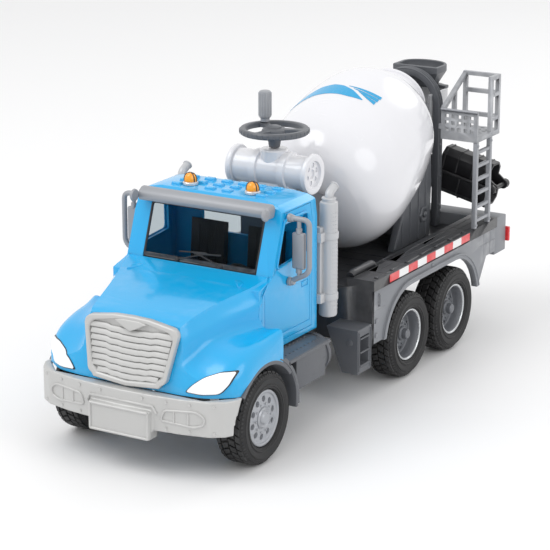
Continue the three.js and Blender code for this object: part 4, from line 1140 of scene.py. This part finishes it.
def stepDraw():
    extra = newShape()
    for row in range(3):
        for i in range(10):
            place = (50 + row * 10, 35 + i * 5.2, 65)
            turned(extra, [(0, -0.2), (1.1, -0.2), (0.9, 0.35), (0.5, 0.5), (0, 0.5)], place, up, 8)
    for y in (58, 67, 76, 86, 95):
        turned(
            extra, [(13.5, -1.2), (14.7, -1), (14.9, 0), (14.7, 1), (13.5, 1.2)], (59, y, 49.5),
            (0, 1, 0), 36, True,
        )
    tankEnd = [(0, -0.3), (13.2, -0.3), (13.6, 0.8), (12.4, 1.4), (10.6, 0.9), (9.4, 0.9), (8.8, 1.7), (0, 1.9)]
    turned(extra, tankEnd, (59, 99, 49.5), (0, 1, 0), 36)
    tube(extra, rounded([(78.2, 31, 63.6), (78.2, 87, 63.6)], 1), 0.8, 8)
    return extra, None


def flareDraw():
    extra = newShape()
    path = [Vector((78.6, y, z)) for y, z in arc(0, wheelRadius, 41.2, 22, 66, 12)]
    tube(extra, path, 0.8, 8)
    return extra, None


def boxDraw():
    extra = newShape()
    for z in (50.5, 40, 30):
        tube(extra, [(76.6, 135, z), (76.6, 149.4, z)], 0.6, 8)
    for y in (133.6, 151):
        tube(extra, [(76.6, y, 26), (76.6, y, 56)], 0.7, 8)
    turned(extra, [(0, -0.4), (2.4, -0.4), (2.4, 0.6), (1.8, 1), (0, 1)], (70, 131.7, 48), (0, -1, 0), 16)
    return extra, None


def exhaustPiece(side):
    shape = newShape()
    x, y = 62, 113
    profile = [
        (0, 73), (5.2, 73), (6.2, 73.6), (6.6, 74.8), (6.6, 156), (6.2, 157.2), (5.1, 157.8),
        (5, 159.2), (5.3, 159.8), (5, 160.5),
        (3.2, 160.8), (0, 160.8),
    ]
    turned(shape, profile, (x, y, 0), up, 48)
    elbow = rounded([(x, y, 158), (x, y, 163), (x, y + 8, 167)], 3.4, 8)
    tube(shape, elbow, 3.1, 24)
    turned(
        shape, [(2.2, -0.6), (3.5, -0.6), (3.6, 0.2), (3.3, 0.6), (2.2, 0.6)], elbow[-1],
        elbow[-1] - elbow[-2], 24, True,
    )
    for column in range(-2, 3):
        t = math.radians(-12 + column * 16)
        for i in range(26):
            z = 79 + i * 2.85
            out = Vector((math.cos(t), math.sin(t), 0))
            turned(
                shape, [(0, -0.3), (0.62, -0.3), (0.5, 0.2), (0, 0.28)], Vector((x, y, z)) + out * 6.6,
                out, 6,
            )
    bar = newShape()
    block(bar, x - 6, x - 1, 103, 107.5, 85, 140)
    for z in (88, 133):
        block(bar, x - 8.6, x + 1, 100.4, 110, z - 3.4, z + 3.4)
        turned(bar, [(6.5, -2.6), (7.3, -2.4), (7.3, 2.4), (6.5, 2.6)], (x, y, z), up, 40, True)
    addTo(shape, softEdges(bar, 0.7, 3))
    shape = facing(side, shape)
    finishPiece(f"exhaust_{side}_stack", shape, "truck", finish["lightGrey"], "exhaust_" + side)


def deckParts():
    extra, tools = newShape(), newShape()
    for sign in (-1, 1):
        for x in (60, 66.5, 73):
            x0, x1 = sorted((sign * x, sign * (x + 0.6)))
            block(tools, x0, x1, 156, 361, 89.5, 91)
        for y in (176, 208, 262, 316, 344):
            x0, x1 = sorted((sign * 56, sign * 77))
            block(tools, x0, x1, y, y + 0.6, 89.5, 91)
        moulding = newShape()
        tube(
            moulding,
            rounded([
                (sign * 57, 155, 91), (sign * 57, 158, 92.2), (sign * 57, 187, 92.2), (sign * 57, 191, 89),
            ], 2),
            3, 16,
        )
        addTo(extra, moulding)
        for y in range(162, 356, 24):
            turned(
                extra, [(0, -0.3), (1.5, -0.3), (1.5, 0.5), (1, 0.9), (0, 0.9)], (sign * 74.6, y, 90),
                up, 10,
            )
    for y in range(170, 360, 16):
        block(tools, -54, 54, y, y + 0.6, 77.6, 79)
    return extra, tools


def makeTape():
    # nine short lengths, red first and last
    for side, sign in (("left", 1), ("right", -1)):
        for colour, material, offset in (("red", "redTape", 0), ("white", "whiteTape", 1)):
            shape = newShape()
            for i in range(offset, 9, 2):
                y = 177 + i * (311 - 177) / 9
                strip = newShape()
                x0, x1 = sorted((sign * 77.9, sign * 78.35))
                block(strip, x0, x1, y, y + 14.7, 83.4, 89.2)
                addTo(shape, strip)
            finishPiece(f"tape_{colour}_{side}", shape, "truck", finish[material])


def skirtDraw():
    extra, tools = newShape(), newShape()
    for y in (340, 352):
        block(tools, 76.1, 77, y, y + 0.5, 62, 81)
    block(tools, 76.1, 77, 157, 172, 66, 66.5)
    block(tools, 76.1, 77, 330, 361, 72, 72.5)
    handle = rounded([(76.4, 163, 78), (78, 163, 78), (78, 163, 69), (76.4, 163, 69)], 1.2, 4)
    tube(extra, handle, 0.7, 8)
    for z in (58, 47):
        hinge = newShape()
        block(hinge, 76.3, 77.6, 157.5, 161, z - 1.6, z + 1.6)
        addTo(extra, softEdges(hinge, 0.3, 2))
    front, rear = axlePlaces["middle"], axlePlaces["rear"]
    bolt = [(0, -0.4), (1.6, -0.4), (1.6, 0.5), (1, 0.9), (0, 0.9)]
    turned(extra, bolt, (76.5, (front + rear) / 2, 78), across, 12)
    loop = arc(front, wheelRadius, 43.4, 168, 90, 12) + arc(rear, wheelRadius, 43.4, 90, 12, 12)
    tube(extra, [Vector((78.4, y, z)) for y, z in loop], 0.8, 8)
    return extra, tools


def tailExtras():
    extra = newShape()
    for sign in (-1, 1):
        plate = newShape()
        x0, x1 = sorted((sign * 60, sign * 75))
        block(plate, x0, x1, 383, 384, 60, 86)
        addTo(extra, softEdges(plate, 0.6, 3))
        for z in (62, 84):
            turned(
                extra, [(0, -0.4), (1.2, -0.4), (1.2, 0.6), (0.8, 0.9), (0, 0.9)],
                (sign * 55, 383.3, z), (0, 1, 0), 8,
            )
    turned(extra, [(6, -0.5), (9, -0.5), (9, 1), (7.6, 2), (6, 2)], (0, 372, 88), up, 32, True)
    return extra


dress("frame_rails", "chassis_frame", "darkGrey", 0.6, 2, extra=frameExtras())
for row in axlePlaces:
    dress("axle_bar_" + row, "axle_" + row, "steelPin", 0.4)
dressPair("side_step", stepDraw, "darkGrey", 0.5)
dressPair("fender_flare", flareDraw, "darkGrey", 0.5)
dressPair("side_box", boxDraw, "darkGrey", 0.6)
for side in signs:
    exhaustPiece(side)
deckExtra, deckTools = deckParts()
dress("deck_tray", "deck", "deckGrey", 0.5, 2, extra=deckExtra, tools=deckTools)
makeTape()
dressPair("side_skirt", skirtDraw, "skirtGrey", 0.5)
dress("tail_beam", "tail_block", "skirtGrey", 0.9, 3, extra=tailExtras())
for side in signs:
    dress(f"tail_lens_{side}", f"tail_lamp_{side}", "redLens", 0.8, 3)

# drum and what turns it
print("stage: drum")
hopperPlan = {"y": 379, "backSteps": 16}
hopperTurns = [math.pi * i / hopperPlan["backSteps"] for i in range(1, hopperPlan["backSteps"])]
drumPlan = {"y": 241.5, "z": 145.5, "tilt": 25}
drumTilt = math.radians(drumPlan["tilt"])
drumAxis = Vector((0, math.cos(drumTilt), math.sin(drumTilt)))
drumCentre = Vector((0, drumPlan["y"], drumPlan["z"]))
drumKnots = [
    (-44.3, 38), (-40.8, 44), (-36, 48.8), (-28, 53.6), (-17, 57.2), (-5, 58.6), (8, 58.6),
    (34, 56.5), (60, 51), (72.4, 45.1), (83, 35.8), (91, 25), (101, 24),
]


def drumRadius(s):
    # a smooth curve through the drum's rings
    last = len(drumKnots) - 1
    for i in range(last):
        if s <= drumKnots[i + 1][0] or i == last - 1:
            break
    (s0, r0), (s1, r1) = drumKnots[i], drumKnots[i + 1]
    before, after = drumKnots[max(i - 1, 0)], drumKnots[min(i + 2, last)]
    m0 = (r1 - before[1]) / max(s1 - before[0], 1e-6)
    m1 = (after[1] - r0) / max(after[0] - s0, 1e-6)
    wide = s1 - s0
    t = min(max((s - s0) / wide, 0), 1)
    return ((2 * t**3 - 3 * t**2 + 1) * r0 + (t**3 - 2 * t**2 + t) * wide * m0
            + (-2 * t**3 + 3 * t**2) * r1 + (t**3 - t**2) * wide * m1)


def onDrum(s, turn, lift=0.0):
    t = math.radians(turn)
    # a turn of 0 is the truck's left, 90 the top
    out = Vector((math.cos(t), 0, 0)) + Vector((0, -math.sin(drumTilt), math.cos(drumTilt))) * math.sin(t)
    return drumCentre + drumAxis * s + out * (drumRadius(s) + lift)


def makeDrum():
    shape = newShape()
    front = [(0, -49), (10, -48.9), (20, -48.3), (30, -46.9), (38, -44.3)]
    outer = front + [(drumRadius(s), s) for s in [-43.5 + i * 2.74 for i in range(50)]]
    outer += [(24.2, 93.5), (24, 98), (25.2, 98.8), (25.4, 100.4), (24.6, 101), (22.4, 101), (21.6, 100)]
    inner = [(drumRadius(s) - 2.6, s) for s in (92, 84, 74, 60, 34, 6, -8, -24, -36)] + [(40, -42.6), (0, -44)]
    turned(shape, outer + inner, drumCentre, drumAxis, 112)
    for i in range(2):
        rings = []
        for k in range(41):
            s = 96 - 60 * k / 40
            t = math.radians(180 * i + 300 * k / 40)
            _, side, other = frameFor(drumAxis)
            out = side * math.cos(t) + other * math.sin(t)
            r = drumRadius(s) - 2.4 if s < 91 else 22
            rings.append([
                drumCentre + drumAxis * (s + d) + out * (r - h)
                for d, h in ((-0.6, 0), (0.6, 0), (0.6, 7), (-0.6, 7))
            ])
        loft(shape, rings)
    rod(shape, drumCentre + drumAxis * -58, drumCentre + drumAxis * -45, 5, 24)
    finishPiece("drum_shell", shape, "drum_body", finish["drumWhite"], "drum", 40)


def makeSwoosh(name, knots):
    # a painted band lying on the drum: (along, turn, half width) at each knot
    rings = []
    steps = 14
    for (s0, t0, w0), (s1, t1, w1) in zip(knots, knots[1:]):
        for i in range(steps):
            k = i / steps
            rings.append((s0 + (s1 - s0) * k, t0 + (t1 - t0) * k, w0 + (w1 - w0) * k))
    rings.append(knots[-1])
    shape = newShape()
    columns = 6
    grid = []
    for s, turn, half in rings:
        grid.append([shape.verts.new(onDrum(
            s + half * (2 * c / columns - 1), turn, 0.16,
        )) for c in range(columns + 1)])
    for a, b in zip(grid, grid[1:]):
        for c in range(columns):
            shape.faces.new((a[c], a[c + 1], b[c + 1], b[c]))
    item = tempObject(shape)
    thick = item.modifiers.new("thick", "SOLIDIFY")
    thick.thickness, thick.offset = 0.12, 0
    finishPiece(name, applied(item), "drum_body", finish["stripeBlue"])


def makeTank():
    x, y, z = 0, 142, 167
    shape = newShape()
    end = [
        (0, 30.4), (3.2, 30.4), (3.6, 31.6), (9.4, 31.6), (10, 33.4), (13.6, 34), (14.6, 33.6),
        (15, 32.6), (15, 30.6), (14.4, 29.6), (12.5, 29.2),
    ]
    ribs = [(12.5, 15.4), (14, 14.6), (14.2, 12), (14, 9.4), (12.5, 8.6)]
    half = end + ribs
    profile = half + [(r, -h) for r, h in half[::-1]]
    turned(shape, profile, (x, y, z), across, 56)
    tools = newShape()
    for sign in (-1, 1):
        for i in range(6):
            t = 2 * math.pi * i / 6 + 0.3
            rod(tools, (sign * 30.6, y + 6.6 * math.cos(t), z + 6.6 * math.sin(t)),
                (sign * 36, y + 6.6 * math.cos(t), z + 6.6 * math.sin(t)), 1.9, 16)
    shape = carve(shape, tools)
    turned(shape, [(0, 0), (10.6, 0), (10.6, 14.6), (9.8, 15.6), (8.4, 15.9), (0, 15.9)], (x, y, z), up, 40)
    foot = newShape()
    block(foot, -16, 16, y - 9, y + 9, z - 15, z - 8)
    addTo(shape, softEdges(foot, 0.8, 3))
    finishPiece("water_tank_shell", shape, "truck", finish["drumWhite"], "water_tank", 34)


crankPlan = {"z": 196, "rim": 25.5, "knobTurn": 141, "y": 142}


def makeCrank():
    y, z, r = crankPlan["y"], crankPlan["z"], crankPlan["rim"]
    shape = newShape()
    rim = [
        (r - 4.6, z - 1.4), (r - 3.6, z - 2.2), (r - 1, z - 2.2), (r - 0.1, z - 1), (r - 0.1, z + 1),
        (r - 1, z + 2.2), (r - 3.6, z + 2.2), (r - 4.6, z + 1.4),
    ]
    turned(shape, rim, (0, y, 0), up, 72, True)
    hub = [
        (0, 183.7), (4, 183.7), (4.4, 186), (5, 189.5), (6.6, 192.6), (9, 194.4), (9.4, 195.6),
        (9, 196.8), (7.8, 197.6), (5.4, 197.9), (5, 199), (3.6, 199.6), (0, 199.7),
    ]
    turned(shape, hub, (0, y, 0), up, 40)
    for turn in (141, 261, 21):
        t = math.radians(turn)
        out = Vector((math.cos(t), math.sin(t), 0))
        sideways = Vector((-math.sin(t), math.cos(t), 0))
        rings = []
        for reach, wide in ((5, 4.2), (12, 2.8), (17, 2.8), (22, 4.6)):
            centre = Vector((0, y, z)) + out * reach
            rings.append([
                centre + sideways * a * wide + up * b
                for a, b in ((-1, -1.5), (1, -1.5), (1, 1.1), (0.6, 1.5), (-0.6, 1.5), (-1, 1.1))
            ])
        loft(shape, rings)
    for i in range(36):
        t = 2 * math.pi * i / 36
        out = Vector((math.cos(t), math.sin(t), 0))
        tube(
            shape,
            [Vector((0, y, z - 1.4)) + out * (r - 0.25), Vector((0, y, z + 1.4)) + out * (r - 0.25)],
            0.55, 6,
        )
    finishPiece("crank_wheel_ring", shape, "crank_body", finish["darkGrey"], "crank_wheel", 34)
    knob = newShape()
    t = math.radians(crankPlan["knobTurn"])
    place = Vector((20 * math.cos(t), y + 20 * math.sin(t), 0))
    turned(
        knob,
        [
            (0, 198.6), (3.4, 198.6), (3.4, 201), (4.6, 202.2), (4.6, 219.6), (4.2, 221), (3.2, 221.5),
            (0, 221.5),
        ],
        place, up, 40,
    )
    for i in range(16):
        a = 2 * math.pi * i / 16
        out = Vector((math.cos(a), math.sin(a), 0)) * 4.55
        tube(knob, [place + out + up * 203, place + out + up * 220], 0.42, 6)
    finishPiece("crank_grip", knob, "crank_body", finish["midGrey"], "crank_knob", 34)


def frontSupportExtras():
    extra = newShape()
    for sign in (-1, 1):
        for y in (132, 142, 152, 162):
            tube(extra, [(sign * 18, y, 92), (sign * 18, y, 150)], 0.9, 8)
        tube(extra, [(sign * 18, 126, 96), (sign * 18, 176, 96)], 0.9, 8)
    for y in (126, 158):
        for x in (-10, 0, 10):
            turned(
                extra, [(0, -0.4), (1.4, -0.4), (1.4, 0.6), (0, 0.9)], (x, 124, 80 + (y - 126)),
                (0, -1, 0), 8,
            )
    return extra


def rearSupportExtras():
    extra = newShape()
    y = (drumCentre + drumAxis * 95.5).y
    for sign in (-1, 1):
        for dy, z1 in ((-50, 108), (-36, 122), (-22, 138), (-10, 148)):
            tube(extra, [(sign * 35, y + dy, 80), (sign * 35, y + dy, z1)], 1, 8)
        loop = [(sign * 35, y - 62, 80), (sign * 35, y - 43, 119), (sign * 35, y - 12, 155)]
        tube(extra, loop, 1.3, 8)
        turned(
            extra, [(0, -0.4), (7, -0.4), (7, 1), (6, 1.6), (4, 1.6), (3.6, 0.9), (0, 0.9)],
            (sign * 35, y - 14, 98), (sign, 0, 0), 6,
        )
        turned(
            extra, [(0, 0), (2.6, 0), (2.6, 2.2), (2, 2.8), (0, 2.8)], (sign * 35, y - 14, 98),
            (sign, 0, 0), 6,
        )
    return extra


def archExtras():
    extra = newShape()
    for y in (350.6, 353.5, 356.4):
        path = [Vector((x, y, z)) for x, z in [(29.1, 92)] + arc(0, 177, 29.1, 0, 180, 36) + [(-29.1, 92)]]
        tube(extra, path, 0.75, 8)
    for sign in (-1, 1):
        for z in (96, 120, 146):
            turned(
                extra, [(0, -0.4), (1.5, -0.4), (1.5, 0.6), (1, 1), (0, 1)], (sign * 29, 353.5, z),
                (sign, 0, 0), 8,
            )
    return extra


def collectorExtras():
    extra = newShape()
    rim = [Vector((x, y, 186.6)) for x, y in [(22.4, 347)] + arc(0, 372, 22.4, 0, 180, 28) + [(-22.4, 347)]]
    tube(extra, rim, 1.15, 10)
    turned(extra, [(23.2, 151.4), (24, 152), (24, 153.4), (23.2, 154)], (0, 372, 0), up, 48, True)
    turned(
        extra, [(11.6, 133.6), (13.6, 133.6), (14, 134.6), (13.8, 136), (12.6, 136.6)], (0, 372, 0), up,
        36, True,
    )
    for v in [v for v in extra.verts if v.co.y < 350 and v.co.z < 160]:
        v.co.y = 350
    return extra


def hopperRing(halfX, front, back, z):
    # straight along the front, round at the back
    sides = [Vector((halfX, front, z)), Vector((halfX, hopperPlan["y"], z))]
    curve = [Vector((halfX * math.cos(a), hopperPlan["y"] + back * math.sin(a), z)) for a in hopperTurns]
    return sides + curve + [Vector((-halfX, hopperPlan["y"], z)), Vector((-halfX, front, z))]


def makeHopper():
    y = hopperPlan["y"]
    levels = [
        (11.6, y - 8.6, 5.4, 187.6), (12.6, y - 10.4, 6.6, 188.6), (19.4, y - 14.2, 14.2, 199.6),
        (20, y - 15, 15, 200.6), (20, y - 15, 15, 205.4), (19.6, y - 14.6, 14.6, 206),
        (18.2, y - 13.2, 13.2, 206), (17.8, y - 12.8, 12.8, 205.4), (17.8, y - 12.8, 12.8, 201),
        (17.2, y - 12.2, 12.2, 199.8), (10.4, y - 8.4, 5, 188.6), (10, y - 7.6, 4.2, 187.6),
    ]
    shape = newShape()
    rings = [hopperRing(*level) for level in levels]
    loft(shape, rings + [rings[0]], False)
    bmesh.ops.remove_doubles(shape, verts=shape.verts, dist=0.001)
    block(shape, -22.8, -11.2, y - 5, y + 1, 187.4, 189.8)
    block(shape, 11.2, 22.8, y - 5, y + 1, 187.4, 189.8)
    finishPiece(
        "hopper_tub", softEdges(shape, 0.4, 2, 40), "truck", finish["darkGrey"], "hopper",
        28,
    )


def archLip(side):
    # the dark lip that runs round the front wheel's arch
    sign = signs[side]
    section = [(70, 0), (79.3, 0), (79.6, 0.5), (79.6, 2.2), (79.2, 2.7), (70, 2.7)]
    inside, first, sweep, steps = 37.4, 38, 104, 32
    shape = newShape()
    rings = []
    for i in range(steps + 1):
        t = math.radians(first + sweep * i / steps)
        rings.append([
            Vector((sign * x, (inside + h) * math.cos(t), wheelRadius + (inside + h) * math.sin(t)))
            for x, h in section
        ])
    loft(shape, rings)
    finishPiece(f"arch_lip_{side}", shape, "truck", finish["darkGrey"], (), 30)


makeDrum()
makeSwoosh(
    "drum_stripe_front",
    [
        (11, 134, 0.3), (18, 122, 3.6), (24, 110, 6.2), (26, 99, 7), (25.6, 90, 6.2), (23.4, 80, 4.4),
        (20.4, 69, 0.3),
    ],
)
for i in range(3):
    makeSwoosh(f"drum_stripe_feather_{i + 1}", [
        (32.4 - 2 * i, 86 - 5 * i, 0.2), (31.8 - 3.4 * i, 71 - 2 * i, 1.3), (31.6 - 4.2 * i, 58 + 0.8 * i, 1.9),
    ])
makeTank()
makeCrank()
dress("drum_pedestal", "drum_front_support", "darkGrey", 0.6, 2, extra=frontSupportExtras())
dress("drum_saddle", "drum_rear_support", "darkGrey", 0.5, 2, extra=rearSupportExtras())
dress("arch_hoop", "hopper_arch", "darkGrey", 0.5, 2, extra=archExtras())
dress("collector_bin", "collector", "lightGrey", 0.4, 2, extra=collectorExtras(), angle=32)
makeHopper()
for side in signs:
    archLip(side)

# chute
print("stage: chute")
chutePlan = {"slope": 13, "pivotY": 372, "pivotZ": 111, "pin": (71, 18.65), "width": 26}


def chuteTurn(shape):
    # drawn level along +x from the pivot, then tipped by the slope
    lean = Matrix.Rotation(math.radians(chutePlan["slope"]), 4, "Y")
    place = Matrix.Translation((0, chutePlan["pivotY"], chutePlan["pivotZ"]))
    bmesh.ops.transform(shape, matrix=place @ lean, verts=shape.verts)
    return shape


def chuteExtras():
    extra = newShape()
    half = chutePlan["width"] / 2
    for x in (-6, 10, 26, 42, 58):
        path = [
            (x, -half, 17.4), (x, -half, 5), (x, -half + 5, -0.1), (x, half - 5, -0.1), (x, half, 5),
            (x, half, 17.4),
        ]
        tube(extra, path, 0.8, 8)
    for sign in (-1, 1):
        tube(extra, [(-11.5, sign * (half - 0.8), 18), (66, sign * (half - 0.8), 18)], 1.3, 10)
    px, pz = chutePlan["pin"]
    for sign in (-1, 1):
        turned(
            extra, [(0, -0.6), (3.6, -0.6), (3.6, 0.8), (2.6, 1.6), (0, 1.8)], (px, sign * half, pz),
            (0, sign, 0), 24,
        )
    return chuteTurn(extra)


def extensionExtras():
    extra = newShape()
    pz = chutePlan["pin"][1]
    half = 10.2
    top = pz + 18
    for x in (24, 36, 50, 60):
        path = [
            (x, -half, pz + 1), (x, -half, top - 5), (x, -half + 5, top + 0.1),
            (x, half - 5, top + 0.1), (x, half, top - 5), (x, half, pz + 1),
        ]
        tube(extra, path, 0.7, 8)
    return chuteTurn(extra)


dress("chute_trough", "chute_main", "nearBlack", 0.45, 2, "chute_body", extra=chuteExtras())
dress(
    "chute_flap", "chute_extension", "nearBlack", 0.45, 2, "extension_body",
    extra=extensionExtras(),
)

# platform and ladder
print("stage: platform")


def platformParts():
    extra, tools = newShape(), newShape()
    for row in range(4):
        for column in range(6):
            x, y = 51 + row * 6.6, 323.5 + column * 6
            block(tools, x, x + 3.6, y, y + 2.6, 159, 165)
    for row in range(3):
        for column in range(5):
            x, z = 50.5 + column * 5.4, 167 + row * 5.2
            block(tools, x, x + 3, 318, 322, z, z + 3)
    for x in (49, 76.5):
        for y in (321, 358):
            turned(extra, [(0, -0.3), (1.1, -0.3), (1.1, 0.4), (0.7, 0.8), (0, 0.8)], (x, y, 164), up, 8)
    tube(extra, [(47, 318.6, 184.2), (78.2, 318.6, 184.2)], 0.9, 8)
    return extra, tools


def ladderExtras():
    extra = newShape()
    for y in (321.2, 345.3):
        for z in (93, 157):
            turned(extra, [(0, -0.3), (1.2, -0.3), (1.2, 0.5), (0.8, 0.9), (0, 0.9)], (78.5, y, z), across, 8)
    for i in range(6):
        z = 96.3 + 11 * i
        for y in (326, 330, 334, 338, 342):
            tube(extra, [(75.8, y, z + 1.2), (77.8, y, z + 1.2)], 0.35, 6)
    return extra


platformExtra, platformTools = platformParts()
dress("platform_frame", "platform", "midGrey", 0.35, 2, extra=platformExtra, tools=platformTools)
dress("ladder_frame", "ladder", "midGrey", 0.5, 2, extra=ladderExtras())

# floor, light and camera
print("stage: studio")
studio = {"floorColour": (0.955, 0.955, 0.957), "worldStrength": 0.85, "keyPower": 11.0, "fillPower": 4.0}


def makeFloor():
    floor = newShape()
    bmesh.ops.create_grid(floor, x_segments=8, y_segments=8, size=6)
    mesh = bpy.data.meshes.new("floor")
    floor.to_mesh(mesh)
    floor.free()
    item = bpy.data.objects.new("floor", mesh)
    bpy.context.scene.collection.objects.link(item)
    material = bpy.data.materials.new("floorPaint")
    material.use_nodes = True
    shader = material.node_tree.nodes["Principled BSDF"]
    shader.inputs["Base Color"].default_value = (*linear(studio["floorColour"]), 1)
    shader.inputs["Roughness"].default_value = 0.55
    shader.inputs["Specular IOR Level"].default_value = 0.25
    mesh.materials.append(material)
    item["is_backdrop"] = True


def makeLamp(name, place, target, size, power):
    data = bpy.data.lights.new(name, "AREA")
    data.shape, data.size, data.energy = "DISK", size, power
    lamp = bpy.data.objects.new(name, data)
    lamp.location = place
    lamp.rotation_euler = (Vector(target) - Vector(place)).to_track_quat("-Z", "Y").to_euler()
    bpy.context.scene.collection.objects.link(lamp)


def makeWorld():
    world = bpy.data.worlds.new("studioAir")
    bpy.context.scene.world = world
    world.use_nodes = True
    tree = world.node_tree
    background = tree.nodes["Background"]
    background.inputs["Color"].default_value = (1, 1, 1, 1)
    rays = tree.nodes.new("ShaderNodeLightPath")
    seen = mathNode(tree, "MAXIMUM", rays.outputs["Is Camera Ray"], rays.outputs["Is Glossy Ray"])
    seen = mathNode(tree, "MAXIMUM", seen, rays.outputs["Is Transmission Ray"])
    tree.links.new(rangeNode(tree, seen, 0, 1, studio["worldStrength"], 1.0), background.inputs["Strength"])


def makeCamera():
    data = bpy.data.cameras.new("camera")
    data.lens, data.sensor_width, data.clip_end = 144, 36, 30
    camera = bpy.data.objects.new("camera", data)
    low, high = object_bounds()
    centreY = (low[1] + high[1]) / 2
    yaw, pitch = math.radians(30.76), math.radians(16.63)
    ahead = Vector((-math.sin(yaw) * math.cos(pitch), math.cos(yaw) * math.cos(pitch), -math.sin(pitch)))
    camera.location = (0.79944, centreY - 1.36664, 0.55283)
    camera.rotation_mode = "QUATERNION"
    camera.rotation_quaternion = ahead.to_track_quat("-Z", "Y")
    bpy.context.scene.collection.objects.link(camera)
    bpy.context.scene.camera = camera


makeFloor()
makeWorld()
makeLamp("key", (-0.7, -0.9, 1.5), (0, 0, 0.08), 1.2, studio["keyPower"])
makeLamp("fill", (1.4, -0.3, 0.9), (0, 0, 0.1), 1.0, studio["fillPower"])
makeLamp("back", (0.3, 1.5, 1.1), (0, 0, 0.1), 1.0, studio["fillPower"])
makeCamera()
bpy.context.scene.view_settings.view_transform = "Standard"

print("stage: done")
